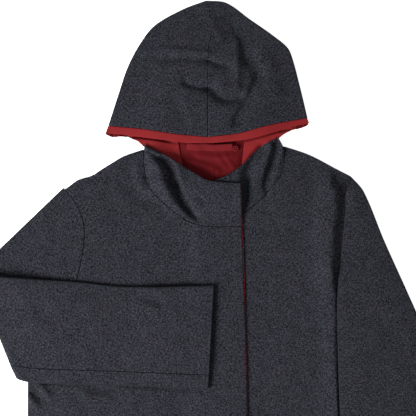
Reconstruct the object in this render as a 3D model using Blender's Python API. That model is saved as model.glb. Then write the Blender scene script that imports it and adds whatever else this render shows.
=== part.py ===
"""Hooded wool parka laid flat on its back, with the right sleeve folded over the chest.

Metres, +Z up. X runs across the body, Y up towards the hood, and the origin is under the bust line on the
flat underside of the back. Right and left are the wearer's, so the right side lies at -X.

Every piece is a sheet of cloth: a grid is thickened, and each of its corners is moved to the place that the
piece's plan (edge curves, in X and Y) and its level (what it lies on, in Z) give it.
"""

from math import cos, pi, sin

import bmesh
import bpy
from mathutils import Vector

COLLECTION = "parka"

# Cloth
WOOL = 0.0024
COTTON = 0.0012
GAP = 0.0003
NECK_SIDE_GAP = 0.0006
FRONT_LEVEL = WOOL + GAP
TAPE = 0.0009

# Body
BUST_HALF = 0.270
HEM_HALF = 0.280
HEM_Y = -0.480
HEM_DIP = 0.006
NECK_SEAM_Y = 0.2043
FRONT_EDGE_HEM_X = 0.0640
UNDERLAP_X = -0.0060
FLY_FACING = 0.0200
FACING_SHOWS = 0.0014

# How far the upper layers rise off the back, and how wide the roll at each outline is
BODY_RISE = 0.0030
EDGE_ROLL = 0.060
HOOD_RISE = 0.0120
HOOD_ROLL = 0.085
COLLAR_RISE = 0.0060
FLY_STEP = WOOL + COTTON + 2 * GAP
SLEEVE_RISE = 0.0020

# Grid rows of the body below and above the bust line, and cells of the other pieces
BODY_ROWS = (9, 8)
NECK_COLUMNS = 10
HOOD_COLUMNS = 8
EDGE_CELLS = 3
UPPER_ARM_ROWS = 5
FOLD_ROWS = 3
FOREARM_ROWS = 9

# Outline points (x, y)
RIGHT_SHOULDER = [(-0.2150, 0.2590), (-0.1995, 0.2712), (-0.1931, 0.2745), (-0.1749, 0.2795), (-0.1631, 0.2875),
                  (-0.1415, 0.3008), (-0.1286, 0.3084), (-0.0975, 0.3200)]
LEFT_SHOULDER = [(0.1130, 0.3234), (0.1500, 0.3108), (0.1920, 0.2890), (0.2115, 0.2790)]
BACK_NECK = [(-0.0975, 0.3200), (0.0060, 0.3170), (0.1130, 0.3234)]
RIGHT_SIDE = [(-HEM_HALF, HEM_Y), (-0.2710, -0.1500), (-BUST_HALF, 0.0)]
LEFT_SIDE = [(HEM_HALF, HEM_Y), (0.2710, -0.1500), (BUST_HALF, 0.0)]
RIGHT_ARMHOLE = [(-BUST_HALF, 0.0), (-0.2180, 0.0600), (-0.1958, 0.1289), (-0.1878, 0.1676), (-0.1856, 0.1934),
                 (-0.1878, 0.2127), (-0.1974, 0.2363), (-0.2150, 0.2590)]
LEFT_ARMHOLE = [(BUST_HALF, 0.0), (0.2360, 0.0600), (0.2180, 0.1335), (0.2120, 0.2000), (0.2110, 0.2480),
                (0.2115, 0.2790)]
RIGHT_NECK_SEAM = [(-0.0975, 0.3000), (-0.0925, 0.2700), (-0.0765, 0.2475), (-0.0375, 0.2154),
                   (-0.0060, NECK_SEAM_Y), (0.0495, NECK_SEAM_Y)]
LEFT_NECK_SEAM = [(UNDERLAP_X, NECK_SEAM_Y), (0.0250, 0.2090), (0.0510, 0.2242), (0.0735, 0.2400),
                  (0.0885, 0.2565), (0.1070, 0.2800), (0.1130, 0.3000)]

# Right sleeve, as it lies: its outer edge, the crease at the elbow and the forearm that comes back over it
CREASE_OUTER = Vector((-0.3480, 0.1370))
CREASE_UNDER = Vector((-0.2900, -0.0200))
RIGHT_CUFF_OUTER = Vector((0.0068, 0.1160))
RIGHT_CUFF_UNDER = Vector((-0.0015, -0.0390))
RIGHT_SEAM_CELLS = 1
FOLD_LEVEL = 0.0057
FOLD_ROLL = 0.0040
CUFF_RISE = (-0.140, 0.090)
TUBE_INSET = 0.016
ARMHOLE_GAP = 0.0012
SEAM_SLIT = 0.003

# Left sleeve: a row for each station down the sleeve, outer edge then inner edge
LEFT_SLEEVE = [
    # outer x, outer y, inner x, inner y
    (0.2150, 0.2765, 0.2055, 0.2540),
    (0.2318, 0.2544, 0.2050, 0.2300),
    (0.2607, 0.1815, 0.1992, 0.1700),
    (0.2965, 0.1040, 0.1917, 0.0900),
    (0.3290, 0.0300, 0.1925, 0.0150),
    (0.3480, -0.0350, 0.1940, -0.0450),
    (0.3550, -0.1100, 0.1965, -0.1100),
    (0.3600, -0.2325, 0.1980, -0.2355),
]
LEFT_SEAM_CELLS = 2
LEFT_SLEEVE_LEVEL = FRONT_LEVEL + WOOL + 0.0014
SIDE_DROP = 0.032

# Hood
HOOD_TIP = (-0.0045, 0.5400)
CENTRE_SEAM = [(-0.0015, 0.3375), (-0.0015, 0.4200), (-0.0010, 0.4650), (0.0025, 0.4900)]
RIGHT_HOOD_EDGE = [(-0.1510, 0.3545), (-0.1365, 0.3990), (-0.1215, 0.4425), (-0.1020, 0.4785), (-0.0810, 0.5040),
                   (-0.0400, 0.5270), HOOD_TIP]
LEFT_HOOD_EDGE = [(0.1470, 0.3660), (0.1365, 0.4095), (0.1245, 0.4545), (0.1170, 0.4710), (0.0930, 0.4905),
                  (0.0600, 0.5130), (0.0250, 0.5370), HOOD_TIP]
RIGHT_HOOD_FRONT = [(-0.0015, 0.3375), (-0.0500, 0.3420), (-0.1000, 0.3495), (-0.1510, 0.3545)]
LEFT_HOOD_FRONT = [(-0.0015, 0.3375), (0.0465, 0.3435), (0.0825, 0.3535), (0.1180, 0.3610), (0.1470, 0.3660)]
RIGHT_BAND_LOWER = [(0.0045, 0.3278), (-0.0315, 0.3282), (-0.0885, 0.3354), (-0.1350, 0.3410), (-0.1550, 0.3432)]
LEFT_BAND_LOWER = [(0.0045, 0.3278), (0.0555, 0.3333), (0.0945, 0.3435), (0.1275, 0.3530), (0.1500, 0.3580)]
BAND_SEAM = 0.0005
SEAM_NEAR_TIP = (0.0045, 0.5070)
RIGHT_NAPE = [(-0.0015, 0.3185), (-0.0500, 0.3215), (-0.0985, 0.3285), (-0.1280, 0.3400), (-0.1510, 0.3545)]
LEFT_NAPE = [(-0.0015, 0.3185), (0.0500, 0.3220), (0.0900, 0.3330), (0.1050, 0.3490), (0.1250, 0.3565),
             (0.1470, 0.3660)]

# Hood chin parts: the edge of the opening, from the front round to the side of the neck
RIGHT_OPENING = [(0.0470, 0.2680), (0.0120, 0.2703), (-0.0053, 0.2741), (-0.0255, 0.2855), (-0.0465, 0.2985),
                 (-0.0710, 0.3129), (-0.0965, 0.3260)]
LEFT_OPENING = [(UNDERLAP_X, 0.2640), (0.0120, 0.2740), (0.0240, 0.2784), (0.0465, 0.2933), (0.0700, 0.3165),
                (0.0840, 0.3270), (0.1035, 0.3365)]
RIGHT_NECK_FOLD = [RIGHT_NECK_SEAM[0], (-0.0966, 0.3130), (-0.0965, 0.3260)]
LEFT_NECK_FOLD = [LEFT_NECK_SEAM[-1], (0.1115, 0.3200), (0.1035, 0.3365)]

# Folds of the collar: a trough from one point to another, with its half width and depth
COLLAR_FOLDS = [
    # x, y at the start, x, y at the end, half width, depth
    (-0.0675, 0.3000, -0.0250, 0.2300, 0.009, 0.0026),
    (-0.1000, 0.2900, -0.0780, 0.2400, 0.011, 0.0018),
    (0.0960, 0.3250, 0.0900, 0.2750, 0.009, 0.0024),
]

UNDER_COLLAR_SINK = 0.0010

# Red pieces in the neck
LINING_LOWER = [(-0.0520, 0.2920), (-0.0200, 0.2720), (0.0040, 0.2640), (0.0300, 0.2740), (0.0600, 0.2900)]
LINING_UPPER = [(-0.0560, 0.3340), (0.0640, 0.3370)]
TAPE_LOWER = [(-0.0410, 0.3195), (0.0, 0.3170), (0.0340, 0.3190)]
TAPE_WIDTH = 0.0100
RIGHT_FACING_LOWER = [(-0.1215, 0.3385), (-0.1080, 0.3318), (-0.0965, 0.3220), (-0.0710, 0.3080),
                      (-0.0465, 0.2930), (-0.0380, 0.2890)]
RIGHT_FACING_UPPER = [(-0.1190, 0.3430), (-0.0900, 0.3420), (-0.0465, 0.3350)]
RIGHT_FACING_END = [(-0.0380, 0.2890), (-0.0415, 0.3050), (-0.0465, 0.3350)]
LEFT_FACING_LOWER = [(0.1240, 0.3472), (0.1125, 0.3415), (0.1020, 0.3335), (0.0840, 0.3220), (0.0600, 0.3010),
                     (0.0480, 0.2900)]
LEFT_FACING_UPPER = [(0.1220, 0.3560), (0.0900, 0.3480), (0.0540, 0.3400)]
LEFT_FACING_END = [(0.0480, 0.2900), (0.0500, 0.3050), (0.0540, 0.3400)]
RIGHT_CORNER_UPPER = [(-0.1550, 0.3425), (-0.1350, 0.3403), (-0.1225, 0.3386)]
RIGHT_CORNER_LOWER = [(-0.1545, 0.3410), (-0.1450, 0.3370), (-0.1330, 0.3375), (-0.1228, 0.3370)]
LEFT_CORNER_UPPER = [(0.1490, 0.3572), (0.1375, 0.3545), (0.1255, 0.3514)]
LEFT_CORNER_LOWER = [(0.1480, 0.3550), (0.1420, 0.3518), (0.1330, 0.3490), (0.1250, 0.3480)]
CORNER_CRUMPLE = 0.0010

# Levels of their undersides
LINING_LEVEL = FRONT_LEVEL
TAPE_LEVEL = LINING_LEVEL + COTTON + GAP
HOOD_FACING_LEVEL = 0.0042
LOOP_CENTRE = Vector((0.0390, 0.3205, TAPE_LEVEL + 0.0019))
LOOP_RADIUS = 0.0034
LOOP_FLAT = 0.55

WOOL_COLOUR = (0.045, 0.053, 0.072)
RED_COLOUR = (0.340, 0.030, 0.038)
DARK_RED_COLOUR = (0.200, 0.016, 0.022)


def ease(amount):
    """Rise softly from 0 to 1."""
    held = min(max(amount, 0.0), 1.0)
    return held * held * (3 - 2 * held)


def run(points):
    """Return a soft curve through the points, as a function of 0 to 1 by length, and its length."""
    knots = [Vector(point) for point in points]
    marks = [0.0]
    for start, end in zip(knots, knots[1:]):
        marks.append(marks[-1] + (end - start).length)
    last = len(knots) - 1

    def slope(index):
        low = max(index - 1, 0)
        high = min(index + 1, last)
        return (knots[high] - knots[low]) / (marks[high] - marks[low])

    def at(share):
        mark = min(max(share, 0.0), 1.0) * marks[-1]
        index = 0
        while index < last - 1 and marks[index + 1] < mark:
            index += 1
        span = marks[index + 1] - marks[index]
        part = (mark - marks[index]) / span
        turned = ease(part)
        leave = part * (1 - part) ** 2 * span
        arrive = part * part * (part - 1) * span
        line = knots[index] * (1 - turned) + knots[index + 1] * turned
        return line + slope(index) * leave + slope(index + 1) * arrive

    return at, marks[-1]


def chain(*lists, parts=None):
    """Join soft curves end to end, with a corner where they meet, each taking its part of 0 to 1."""
    runs = [run(points) for points in lists]
    weights = parts or [length for _, length in runs]
    total = sum(weights)

    def at(share):
        mark = share * total
        for (curve, _), weight in list(zip(runs, weights))[:-1]:
            if mark <= weight:
                return curve(mark / weight)
            mark -= weight
        return runs[-1][0](mark / weights[-1])

    return at


def back(curve):
    """Run a curve the other way."""
    return lambda share: curve(1 - share)


def offset(curve, x, y):
    """Move a curve by a fixed step."""
    return lambda share: curve(share) + Vector((x, y))


def patch(bottom, top, left, right, hold=1):
    """Return the plan of a piece between four edge curves; a higher hold keeps the sides' bends near them."""
    def at(across, up):
        ruled = bottom(across) * (1 - up) + top(across) * up
        left_bend = left(up) - left(0) * (1 - up) - left(1) * up
        right_bend = right(up) - right(0) * (1 - up) - right(1) * up
        return ruled + left_bend * (1 - across) ** hold + right_bend * across ** hold

    return at


def nearest(spot, outline):
    """Return the distance from a plan point to an open outline of points."""
    best = 1.0
    for start, end in zip(outline, outline[1:]):
        way = end - start
        share = min(max((spot - start).dot(way) / way.length_squared, 0.0), 1.0)
        best = min(best, (spot - start - way * share).length)
    return best


def sampled(curve, steps):
    """Return points along a curve, for measuring distances to it."""
    return [curve(index / steps) for index in range(steps + 1)]


LEFT_OUTLINE = sampled(chain(LEFT_SIDE, [LEFT_SIDE[-1], LEFT_SHOULDER[-1]], LEFT_SHOULDER[::-1]), 24)
RIGHT_OUTLINE = sampled(chain(RIGHT_SIDE, [RIGHT_SIDE[-1], CREASE_UNDER], [CREASE_UNDER, CREASE_OUTER],
                              [CREASE_OUTER, RIGHT_SHOULDER[0]], RIGHT_SHOULDER), 60)
HOOD_OUTLINE = sampled(chain(RIGHT_HOOD_EDGE, LEFT_HOOD_EDGE[::-1]), 40)


def body_rise(spot):
    """Return how far the front of the body and the upper arm rise off the back at a plan point."""
    outline = LEFT_OUTLINE if spot.x > 0 else RIGHT_OUTLINE
    return BODY_RISE * ease(nearest(spot, outline) / EDGE_ROLL)


def fly_step(spot):
    """Return the rise of the right front where it laps over the left one."""
    return FLY_STEP * ease((spot.x - UNDERLAP_X + 0.034) / 0.030)


def hood_rise(spot):
    """Return how far the hood's upper layer rises at a plan point."""
    return HOOD_RISE * ease(nearest(spot, HOOD_OUTLINE) / HOOD_ROLL)


def collar_folds(spot):
    """Return the depth of the collar's troughs at a plan point."""
    depth = 0.0
    for start_x, start_y, end_x, end_y, half, deep in COLLAR_FOLDS:
        line = [Vector((start_x, start_y)), Vector((end_x, end_y))]
        depth += deep * (1 - ease(nearest(spot, line) / (2 * half)))
    return depth


def finish(name, colour):
    """Return a matt cloth material."""
    made = bpy.data.materials.new(name)
    made.use_nodes = True
    shader = made.node_tree.nodes["Principled BSDF"]
    shader.inputs["Base Color"].default_value = (*colour, 1)
    shader.inputs["Roughness"].default_value = 0.9
    shader.inputs["Metallic"].default_value = 0.0
    made.diffuse_color = (*colour, 1)
    return made


def keep(name, mesh, material):
    """Turn a bmesh into a named object of the parka, with its faces pointing out."""
    bmesh.ops.recalc_face_normals(mesh, faces=mesh.faces[:])
    if mesh.calc_volume(signed=True) < 0:
        bmesh.ops.reverse_faces(mesh, faces=mesh.faces[:])
    data = bpy.data.meshes.new(name)
    mesh.to_mesh(data)
    mesh.free()
    data.materials.append(material)
    data.shade_smooth()
    data.set_sharp_from_angle(angle=0.8)
    made = bpy.data.objects.new(name, data)
    bpy.data.collections[COLLECTION].objects.link(made)


def sheet(name, columns, rows, place, material):
    """Build a closed sheet: place(across, up, face) gives each corner, with face 0 below and 1 above."""
    mesh = bmesh.new()
    bmesh.ops.create_grid(mesh, x_segments=columns, y_segments=rows, size=0.5)
    grown = bmesh.ops.extrude_face_region(mesh, geom=mesh.faces[:])
    raised = [item for item in grown["geom"] if isinstance(item, bmesh.types.BMVert)]
    bmesh.ops.translate(mesh, verts=raised, vec=(0, 0, 1))
    for corner in mesh.verts:
        corner.co = place(corner.co.x + 0.5, corner.co.y + 0.5, round(corner.co.z))
    keep(name, mesh, material)


def flat_sheet(name, columns, rows, plan, level, thick, material):
    """Build a sheet whose underside lies at level(plan point, across, up)."""
    def place(across, up, face):
        spot = plan(across, up)
        return Vector((spot.x, spot.y, level(spot, across, up) + thick * face))

    sheet(name, columns, rows, place, material)


def stations(legs):
    """Return the (across, turn) stations round a folded section, leg by leg."""
    rounds = [(legs[0][1], legs[0][3])]
    for count, start, end, turn_from, turn_to in legs:
        for index in range(1, count + 1):
            share = index / count
            rounds.append((start + (end - start) * share, turn_from + (turn_to - turn_from) * share))
    return rounds


def section(plan, station, up, face):
    """Return the plan point and the height of a corner on a flattened fold that lies at level 0."""
    across, turn = station
    before = plan(max(across - 0.02, 0), up)
    after = plan(min(across + 0.02, 1), up)
    radius = GAP / 2 + WOOL * face
    spot = plan(across, up) + (after - before).normalized() * sin(turn) * radius
    return spot, GAP / 2 + WOOL + cos(turn) * radius


def tube_stations(seam_cells, cells):
    """Return the stations round a flattened sleeve, from one side of its seam round to the other."""
    far = 1 - TUBE_INSET
    seam_at = TUBE_INSET + (far - TUBE_INSET) * (1 - seam_cells / cells)
    return stations([
        (cells - seam_cells, seam_at - SEAM_SLIT, TUBE_INSET, pi, pi),
        (EDGE_CELLS, TUBE_INSET, TUBE_INSET, pi, 2 * pi),
        (cells, TUBE_INSET, far, 2 * pi, 2 * pi),
        (EDGE_CELLS, far, far, 2 * pi, 3 * pi),
        (seam_cells, far, seam_at, 3 * pi, 3 * pi),
    ])


def back_panel(wool):
    """The whole back of the body, flat on the table."""
    hem = chain([(-HEM_HALF, HEM_Y), (0, HEM_Y - HEM_DIP), (HEM_HALF, HEM_Y)])
    top = chain(RIGHT_SHOULDER, BACK_NECK, LEFT_SHOULDER)
    plan = patch(hem, top, chain(RIGHT_SIDE, RIGHT_ARMHOLE, parts=BODY_ROWS),
                 chain(LEFT_SIDE, LEFT_ARMHOLE, parts=BODY_ROWS))
    flat_sheet("back_panel", 14, sum(BODY_ROWS), plan, lambda spot, across, up: 0.0, WOOL, wool)


def front_edge():
    """Return the line of the right front's edge, up to the neck seam."""
    return chain([(FRONT_EDGE_HEM_X, HEM_Y - HEM_DIP), (0.0600, -0.2400), (0.0560, 0.0)],
                 [(0.0560, 0.0), (0.0515, 0.1400), (0.0495, NECK_SEAM_Y - GAP)], parts=BODY_ROWS)


def right_front(wool):
    """The front that lies on top, out to its edge at the fly."""
    hem = chain([(-HEM_HALF, HEM_Y), (-0.12, HEM_Y - 0.004), (FRONT_EDGE_HEM_X, HEM_Y - HEM_DIP)])
    top = chain(RIGHT_SHOULDER, [RIGHT_SHOULDER[-1], RIGHT_NECK_SEAM[0]], RIGHT_NECK_SEAM, parts=(6, 2, NECK_COLUMNS))
    side = chain(RIGHT_SIDE, RIGHT_ARMHOLE, parts=BODY_ROWS)
    plan = patch(hem, offset(top, -NECK_SIDE_GAP, -GAP), side, front_edge(), hold=4)

    def level(spot, across, up):
        return FRONT_LEVEL + body_rise(spot) + fly_step(spot)

    flat_sheet("right_front", NECK_COLUMNS + 8, sum(BODY_ROWS), plan, level, WOOL, wool)


def left_front(wool):
    """The front that lies beneath, from under the fly to the side seam."""
    hem = chain([(UNDERLAP_X, HEM_Y - HEM_DIP), (0.13, HEM_Y - 0.004), (HEM_HALF, HEM_Y)])
    top = chain(LEFT_NECK_SEAM, [LEFT_NECK_SEAM[-1], LEFT_SHOULDER[0]], LEFT_SHOULDER, parts=(NECK_COLUMNS, 1, 5))
    edge = chain([(UNDERLAP_X, HEM_Y - HEM_DIP), (UNDERLAP_X, 0)], [(UNDERLAP_X, 0), (UNDERLAP_X, NECK_SEAM_Y)],
                 parts=BODY_ROWS)
    side = chain(LEFT_SIDE, LEFT_ARMHOLE, parts=BODY_ROWS)
    plan = patch(hem, offset(top, GAP, -GAP), edge, side, hold=4)

    def level(spot, across, up):
        return FRONT_LEVEL + body_rise(spot)

    flat_sheet("left_front", NECK_COLUMNS + 6, sum(BODY_ROWS), plan, level, WOOL, wool)


def front_edge_facing(red):
    """The facing under the right front's edge, which shows as a narrow red line."""
    inner = offset(front_edge(), -FLY_FACING, 0)
    outer = offset(front_edge(), FACING_SHOWS, 0)
    plan = patch(chain([inner(0), outer(0)]), chain([inner(1), outer(1)]), inner, outer)

    def level(spot, across, up):
        return FRONT_LEVEL + body_rise(spot) + WOOL + GAP

    flat_sheet("front_edge_facing", 2, sum(BODY_ROWS), plan, level, COTTON, red)


def chin_lift(rise, up, inward):
    """Return how far a chin part stands up towards the opening, less at the side of the neck."""
    return rise * ease(up * 1.25) * (0.75 + 0.25 * ease(inward * 2.2))


def right_collar(wool):
    """The right chin part of the hood, from the neck seam up to the opening."""
    plan = patch(chain(RIGHT_NECK_SEAM), back(chain(RIGHT_OPENING)), chain(RIGHT_NECK_FOLD),
                 chain([RIGHT_NECK_SEAM[-1], (0.0480, 0.2400), RIGHT_OPENING[0]]))

    def level(spot, across, up):
        lift = chin_lift(COLLAR_RISE, up, across)
        return FRONT_LEVEL + body_rise(spot) + fly_step(spot) + lift - collar_folds(spot) * ease(up * 3)

    flat_sheet("right_collar", NECK_COLUMNS, 8, plan, level, WOOL, wool)


def left_collar(wool):
    """The left chin part of the hood, whose front lies under the right one."""
    plan = patch(chain(LEFT_NECK_SEAM), chain(LEFT_OPENING), chain([LEFT_NECK_SEAM[0], LEFT_OPENING[0]]),
                 chain(LEFT_NECK_FOLD))

    def level(spot, across, up):
        lift = chin_lift(COLLAR_RISE - UNDER_COLLAR_SINK, up, 1 - across)
        return FRONT_LEVEL + body_rise(spot) + lift - collar_folds(spot) * ease(up * 3)

    flat_sheet("left_collar", NECK_COLUMNS, 8, plan, level, WOOL, wool)


def hood_panel(name, front, outline, nape, side, wool):
    """One side of the hood: its crown lies above, folds at the outline and runs back beneath to the nape."""
    top = chain([CENTRE_SEAM[-1], SEAM_NEAR_TIP, HOOD_TIP])
    upper = patch(chain(front), top, chain(CENTRE_SEAM), chain(outline))
    lower = patch(chain(nape), top, chain([nape[0], CENTRE_SEAM[-1]]), chain(outline))
    far = 1 - TUBE_INSET
    rounds = stations([(HOOD_COLUMNS, 0, far, 0, 0), (EDGE_CELLS, far, far, 0, pi),
                       (HOOD_COLUMNS, far, 0, pi, pi)])

    def place(across, up, face):
        station = rounds[round(across * (len(rounds) - 1))]
        over, height = section(upper, station, up, face)
        under, _ = section(lower, station, up, face)
        beneath = (1 - cos(station[1])) / 2
        spot = over * (1 - beneath) + under * beneath
        return Vector((spot.x + side * GAP / 2, spot.y, height + hood_rise(spot) * ease(1 - 2 * beneath)))

    sheet(name, len(rounds) - 1, 9, place, wool)


def hood_edge_facing(red):
    """The facing that shows along the hood's front edge, from corner to corner."""
    upper = offset(chain(RIGHT_HOOD_FRONT[::-1], LEFT_HOOD_FRONT, parts=(1, 1)), 0, -BAND_SEAM)
    lower = chain(RIGHT_BAND_LOWER[::-1], LEFT_BAND_LOWER, parts=(1, 1))
    plan = patch(lower, upper, chain([lower(0), upper(0)]), chain([lower(1), upper(1)]))

    def level(spot, across, up):
        return FRONT_LEVEL + hood_rise(spot) + (WOOL - COTTON) / 2

    flat_sheet("hood_edge_facing", 2 * HOOD_COLUMNS, 2, plan, level, COTTON, red)


def inner_facing(name, lower, upper, inner_end, red):
    """A red facing inside one side of the hood, tucked under the band above and the chin part below."""
    plan = patch(chain(lower), chain(upper), chain([lower[0], upper[0]]), chain(inner_end))

    def level(spot, across, up):
        return HOOD_FACING_LEVEL

    flat_sheet(name, 8, 4, plan, level, COTTON, red)


def corner_facing(name, upper, lower, red):
    """The small crumpled end of the facing under a corner of the hood."""
    plan = patch(chain(lower), chain(upper), chain([lower[0], upper[0]]), chain([lower[-1], upper[-1]]))

    def level(spot, across, up):
        return FRONT_LEVEL + CORNER_CRUMPLE * (1 + cos(across * 3 * pi)) / 2

    flat_sheet(name, 6, 1, plan, level, COTTON, red)


def neck_lining(red):
    """The red lining at the back of the neck, tucked under everything round the opening."""
    plan = patch(chain(LINING_LOWER), chain([LINING_UPPER[0], LINING_UPPER[1]]),
                 chain([LINING_LOWER[0], LINING_UPPER[0]]), chain([LINING_LOWER[-1], LINING_UPPER[1]]))
    flat_sheet("neck_lining", 8, 5, plan, lambda spot, across, up: LINING_LEVEL, COTTON, red)


def neck_tape(red):
    """The tape over the seam at the back of the neck."""
    plan = patch(chain(TAPE_LOWER), offset(chain(TAPE_LOWER), 0, TAPE_WIDTH),
                 chain([TAPE_LOWER[0], Vector(TAPE_LOWER[0]) + Vector((0, TAPE_WIDTH))]),
                 chain([TAPE_LOWER[-1], Vector(TAPE_LOWER[-1]) + Vector((0, TAPE_WIDTH))]))
    flat_sheet("neck_tape", 6, 1, plan, lambda spot, across, up: TAPE_LEVEL, TAPE, red)


def hanger_loop(red):
    """The small gathered loop beside the tape."""
    mesh = bmesh.new()
    bmesh.ops.create_uvsphere(mesh, u_segments=12, v_segments=8, radius=LOOP_RADIUS)
    for corner in mesh.verts:
        corner.co = LOOP_CENTRE + Vector((corner.co.x, corner.co.y, corner.co.z * LOOP_FLAT))
    keep("hanger_loop", mesh, red)


def right_sleeve(wool):
    """The right sleeve: a flattened tube that folds over at the elbow crease and runs back across the chest."""
    crease = (CREASE_UNDER - CREASE_OUTER).normalized()
    outward = Vector((crease.y, -crease.x))
    armhole = offset(back(chain(RIGHT_ARMHOLE)), -ARMHOLE_GAP, 0)
    rounds = tube_stations(RIGHT_SEAM_CELLS, BODY_ROWS[1])
    rows = UPPER_ARM_ROWS + FOLD_ROWS + FOREARM_ROWS

    def mirrored(point):
        return point - 2 * outward * (point - CREASE_OUTER).dot(outward)

    def plan(across, up):
        row = round(up * rows)
        start = armhole((across - TUBE_INSET) / (1 - 2 * TUBE_INSET))
        bend = CREASE_OUTER.lerp(CREASE_UNDER, across)
        end = mirrored(RIGHT_CUFF_OUTER.lerp(RIGHT_CUFF_UNDER, across)) + outward * pi * FOLD_ROLL
        if row <= UPPER_ARM_ROWS:
            return start.lerp(bend, row / UPPER_ARM_ROWS)
        past = (end - bend).dot(outward)
        round_share = pi * FOLD_ROLL / past
        if row <= UPPER_ARM_ROWS + FOLD_ROWS:
            return bend.lerp(end, round_share * (row - UPPER_ARM_ROWS) / FOLD_ROWS)
        left = (row - UPPER_ARM_ROWS - FOLD_ROWS) / FOREARM_ROWS
        return bend.lerp(end, round_share + (1 - round_share) * left)

    def place(across, up, face):
        station = rounds[round(across * (len(rounds) - 1))]
        spot, height = section(plan, station, up, face)
        beyond = max((spot - CREASE_OUTER).dot(outward), 0)
        turned = min(beyond / FOLD_ROLL, pi)
        reach = sin(turned) * (FOLD_LEVEL - height) - max(beyond - pi * FOLD_ROLL, 0)
        over = turned / pi
        if beyond > 0:
            spot = spot - outward * (beyond - reach)
            height = FOLD_LEVEL - cos(turned) * (FOLD_LEVEL - height)
        backside = (1 - cos(station[1])) / 2
        puff = SLEEVE_RISE * sin(pi * station[0]) * backside * ease((beyond - pi * FOLD_ROLL) / EDGE_ROLL)
        lift = body_rise(spot) * max(over, 1 - backside)
        cuff = FLY_STEP * ease((spot.x - CUFF_RISE[0]) / CUFF_RISE[1]) * ease(over)
        return Vector((spot.x, spot.y, height + puff + lift + cuff))

    sheet("right_sleeve", len(rounds) - 1, rows, place, wool)


def left_sleeve(wool):
    """The left sleeve: a flattened tube that lies on the body's side and drops to the table beyond it."""
    outer = chain([row[:2] for row in LEFT_SLEEVE])
    inner = chain([row[2:] for row in LEFT_SLEEVE])
    rounds = tube_stations(LEFT_SEAM_CELLS, 8)

    def plan(across, up):
        return outer(up).lerp(inner(up), across)

    def place(across, up, face):
        station = rounds[round(across * (len(rounds) - 1))]
        spot, height = section(plan, station, up, face)
        side = BUST_HALF + (LEFT_SHOULDER[-1][0] - BUST_HALF) * max(spot.y, 0) / LEFT_SHOULDER[-1][1]
        past = spot.x - side
        base = LEFT_SLEEVE_LEVEL * (1 - ease((past - 0.003) / SIDE_DROP))
        if past < 0:
            base += body_rise(spot)
        top = (1 + cos(station[1])) / 2
        return Vector((spot.x, spot.y, base + height + SLEEVE_RISE * sin(pi * station[0]) * top))

    sheet("left_sleeve", len(rounds) - 1, 12, place, wool)


def build():
    """Build every piece."""
    wool = finish("wool", WOOL_COLOUR)
    red = finish("red_cotton", RED_COLOUR)
    dark_red = finish("shaded_cotton", DARK_RED_COLOUR)
    back_panel(wool)
    right_front(wool)
    left_front(wool)
    front_edge_facing(red)
    right_collar(wool)
    left_collar(wool)
    hood_panel("hood_right_panel", RIGHT_HOOD_FRONT, RIGHT_HOOD_EDGE, RIGHT_NAPE, -1, wool)
    hood_panel("hood_left_panel", LEFT_HOOD_FRONT, LEFT_HOOD_EDGE, LEFT_NAPE, 1, wool)
    hood_edge_facing(red)
    inner_facing("right_hood_facing", RIGHT_FACING_LOWER, RIGHT_FACING_UPPER, RIGHT_FACING_END, red)
    inner_facing("left_hood_facing", LEFT_FACING_LOWER, LEFT_FACING_UPPER, LEFT_FACING_END, red)
    corner_facing("right_corner_facing", RIGHT_CORNER_UPPER, RIGHT_CORNER_LOWER, red)
    corner_facing("left_corner_facing", LEFT_CORNER_UPPER, LEFT_CORNER_LOWER, red)
    neck_lining(dark_red)
    neck_tape(red)
    hanger_loop(red)
    right_sleeve(wool)
    left_sleeve(wool)


for leftover in list(bpy.data.objects):
    bpy.data.objects.remove(leftover)
bpy.context.scene.collection.children.link(bpy.data.collections.new(COLLECTION))
build()
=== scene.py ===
"""Hooded wool parka laid flat: the finished cloth, its seams and stitches, and the light it lies in."""

from math import cos, pi, radians, sin

import bmesh
import bpy
import numpy as np
from mathutils import Matrix, Vector


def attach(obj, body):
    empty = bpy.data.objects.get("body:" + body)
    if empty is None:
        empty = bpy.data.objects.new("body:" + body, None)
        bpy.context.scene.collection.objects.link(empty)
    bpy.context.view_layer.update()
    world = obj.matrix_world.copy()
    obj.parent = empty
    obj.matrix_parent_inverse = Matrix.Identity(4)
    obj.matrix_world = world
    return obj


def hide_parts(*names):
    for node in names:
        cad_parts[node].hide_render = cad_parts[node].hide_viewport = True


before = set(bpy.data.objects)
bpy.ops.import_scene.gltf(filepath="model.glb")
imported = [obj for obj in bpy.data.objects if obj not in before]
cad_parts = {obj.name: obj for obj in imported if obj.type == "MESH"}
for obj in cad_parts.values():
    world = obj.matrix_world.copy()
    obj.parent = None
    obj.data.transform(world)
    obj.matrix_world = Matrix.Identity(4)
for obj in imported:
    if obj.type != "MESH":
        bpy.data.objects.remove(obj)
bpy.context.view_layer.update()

# ---------------------------------------------------------------- sizes, in metres
# How thick each cloth is, and how high above the table the layers lie.
WOOL = 0.0024
COTTON = 0.0012
TAPE = 0.0009
GAP = 0.0003
FRONT_LEVEL = WOOL + GAP
LINING_LEVEL = FRONT_LEVEL
TAPE_LEVEL = LINING_LEVEL + COTTON + GAP
HOOD_FACING_LEVEL = 0.0042
LINING_RISE = 0.0060
LINING_LIFT = 0.0020
TAPE_RISE = 0.0040
BAND_CLEAR = 0.0038
CHIN_CLEAR = 0.0010
FACING_FALL = 0.0070

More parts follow.
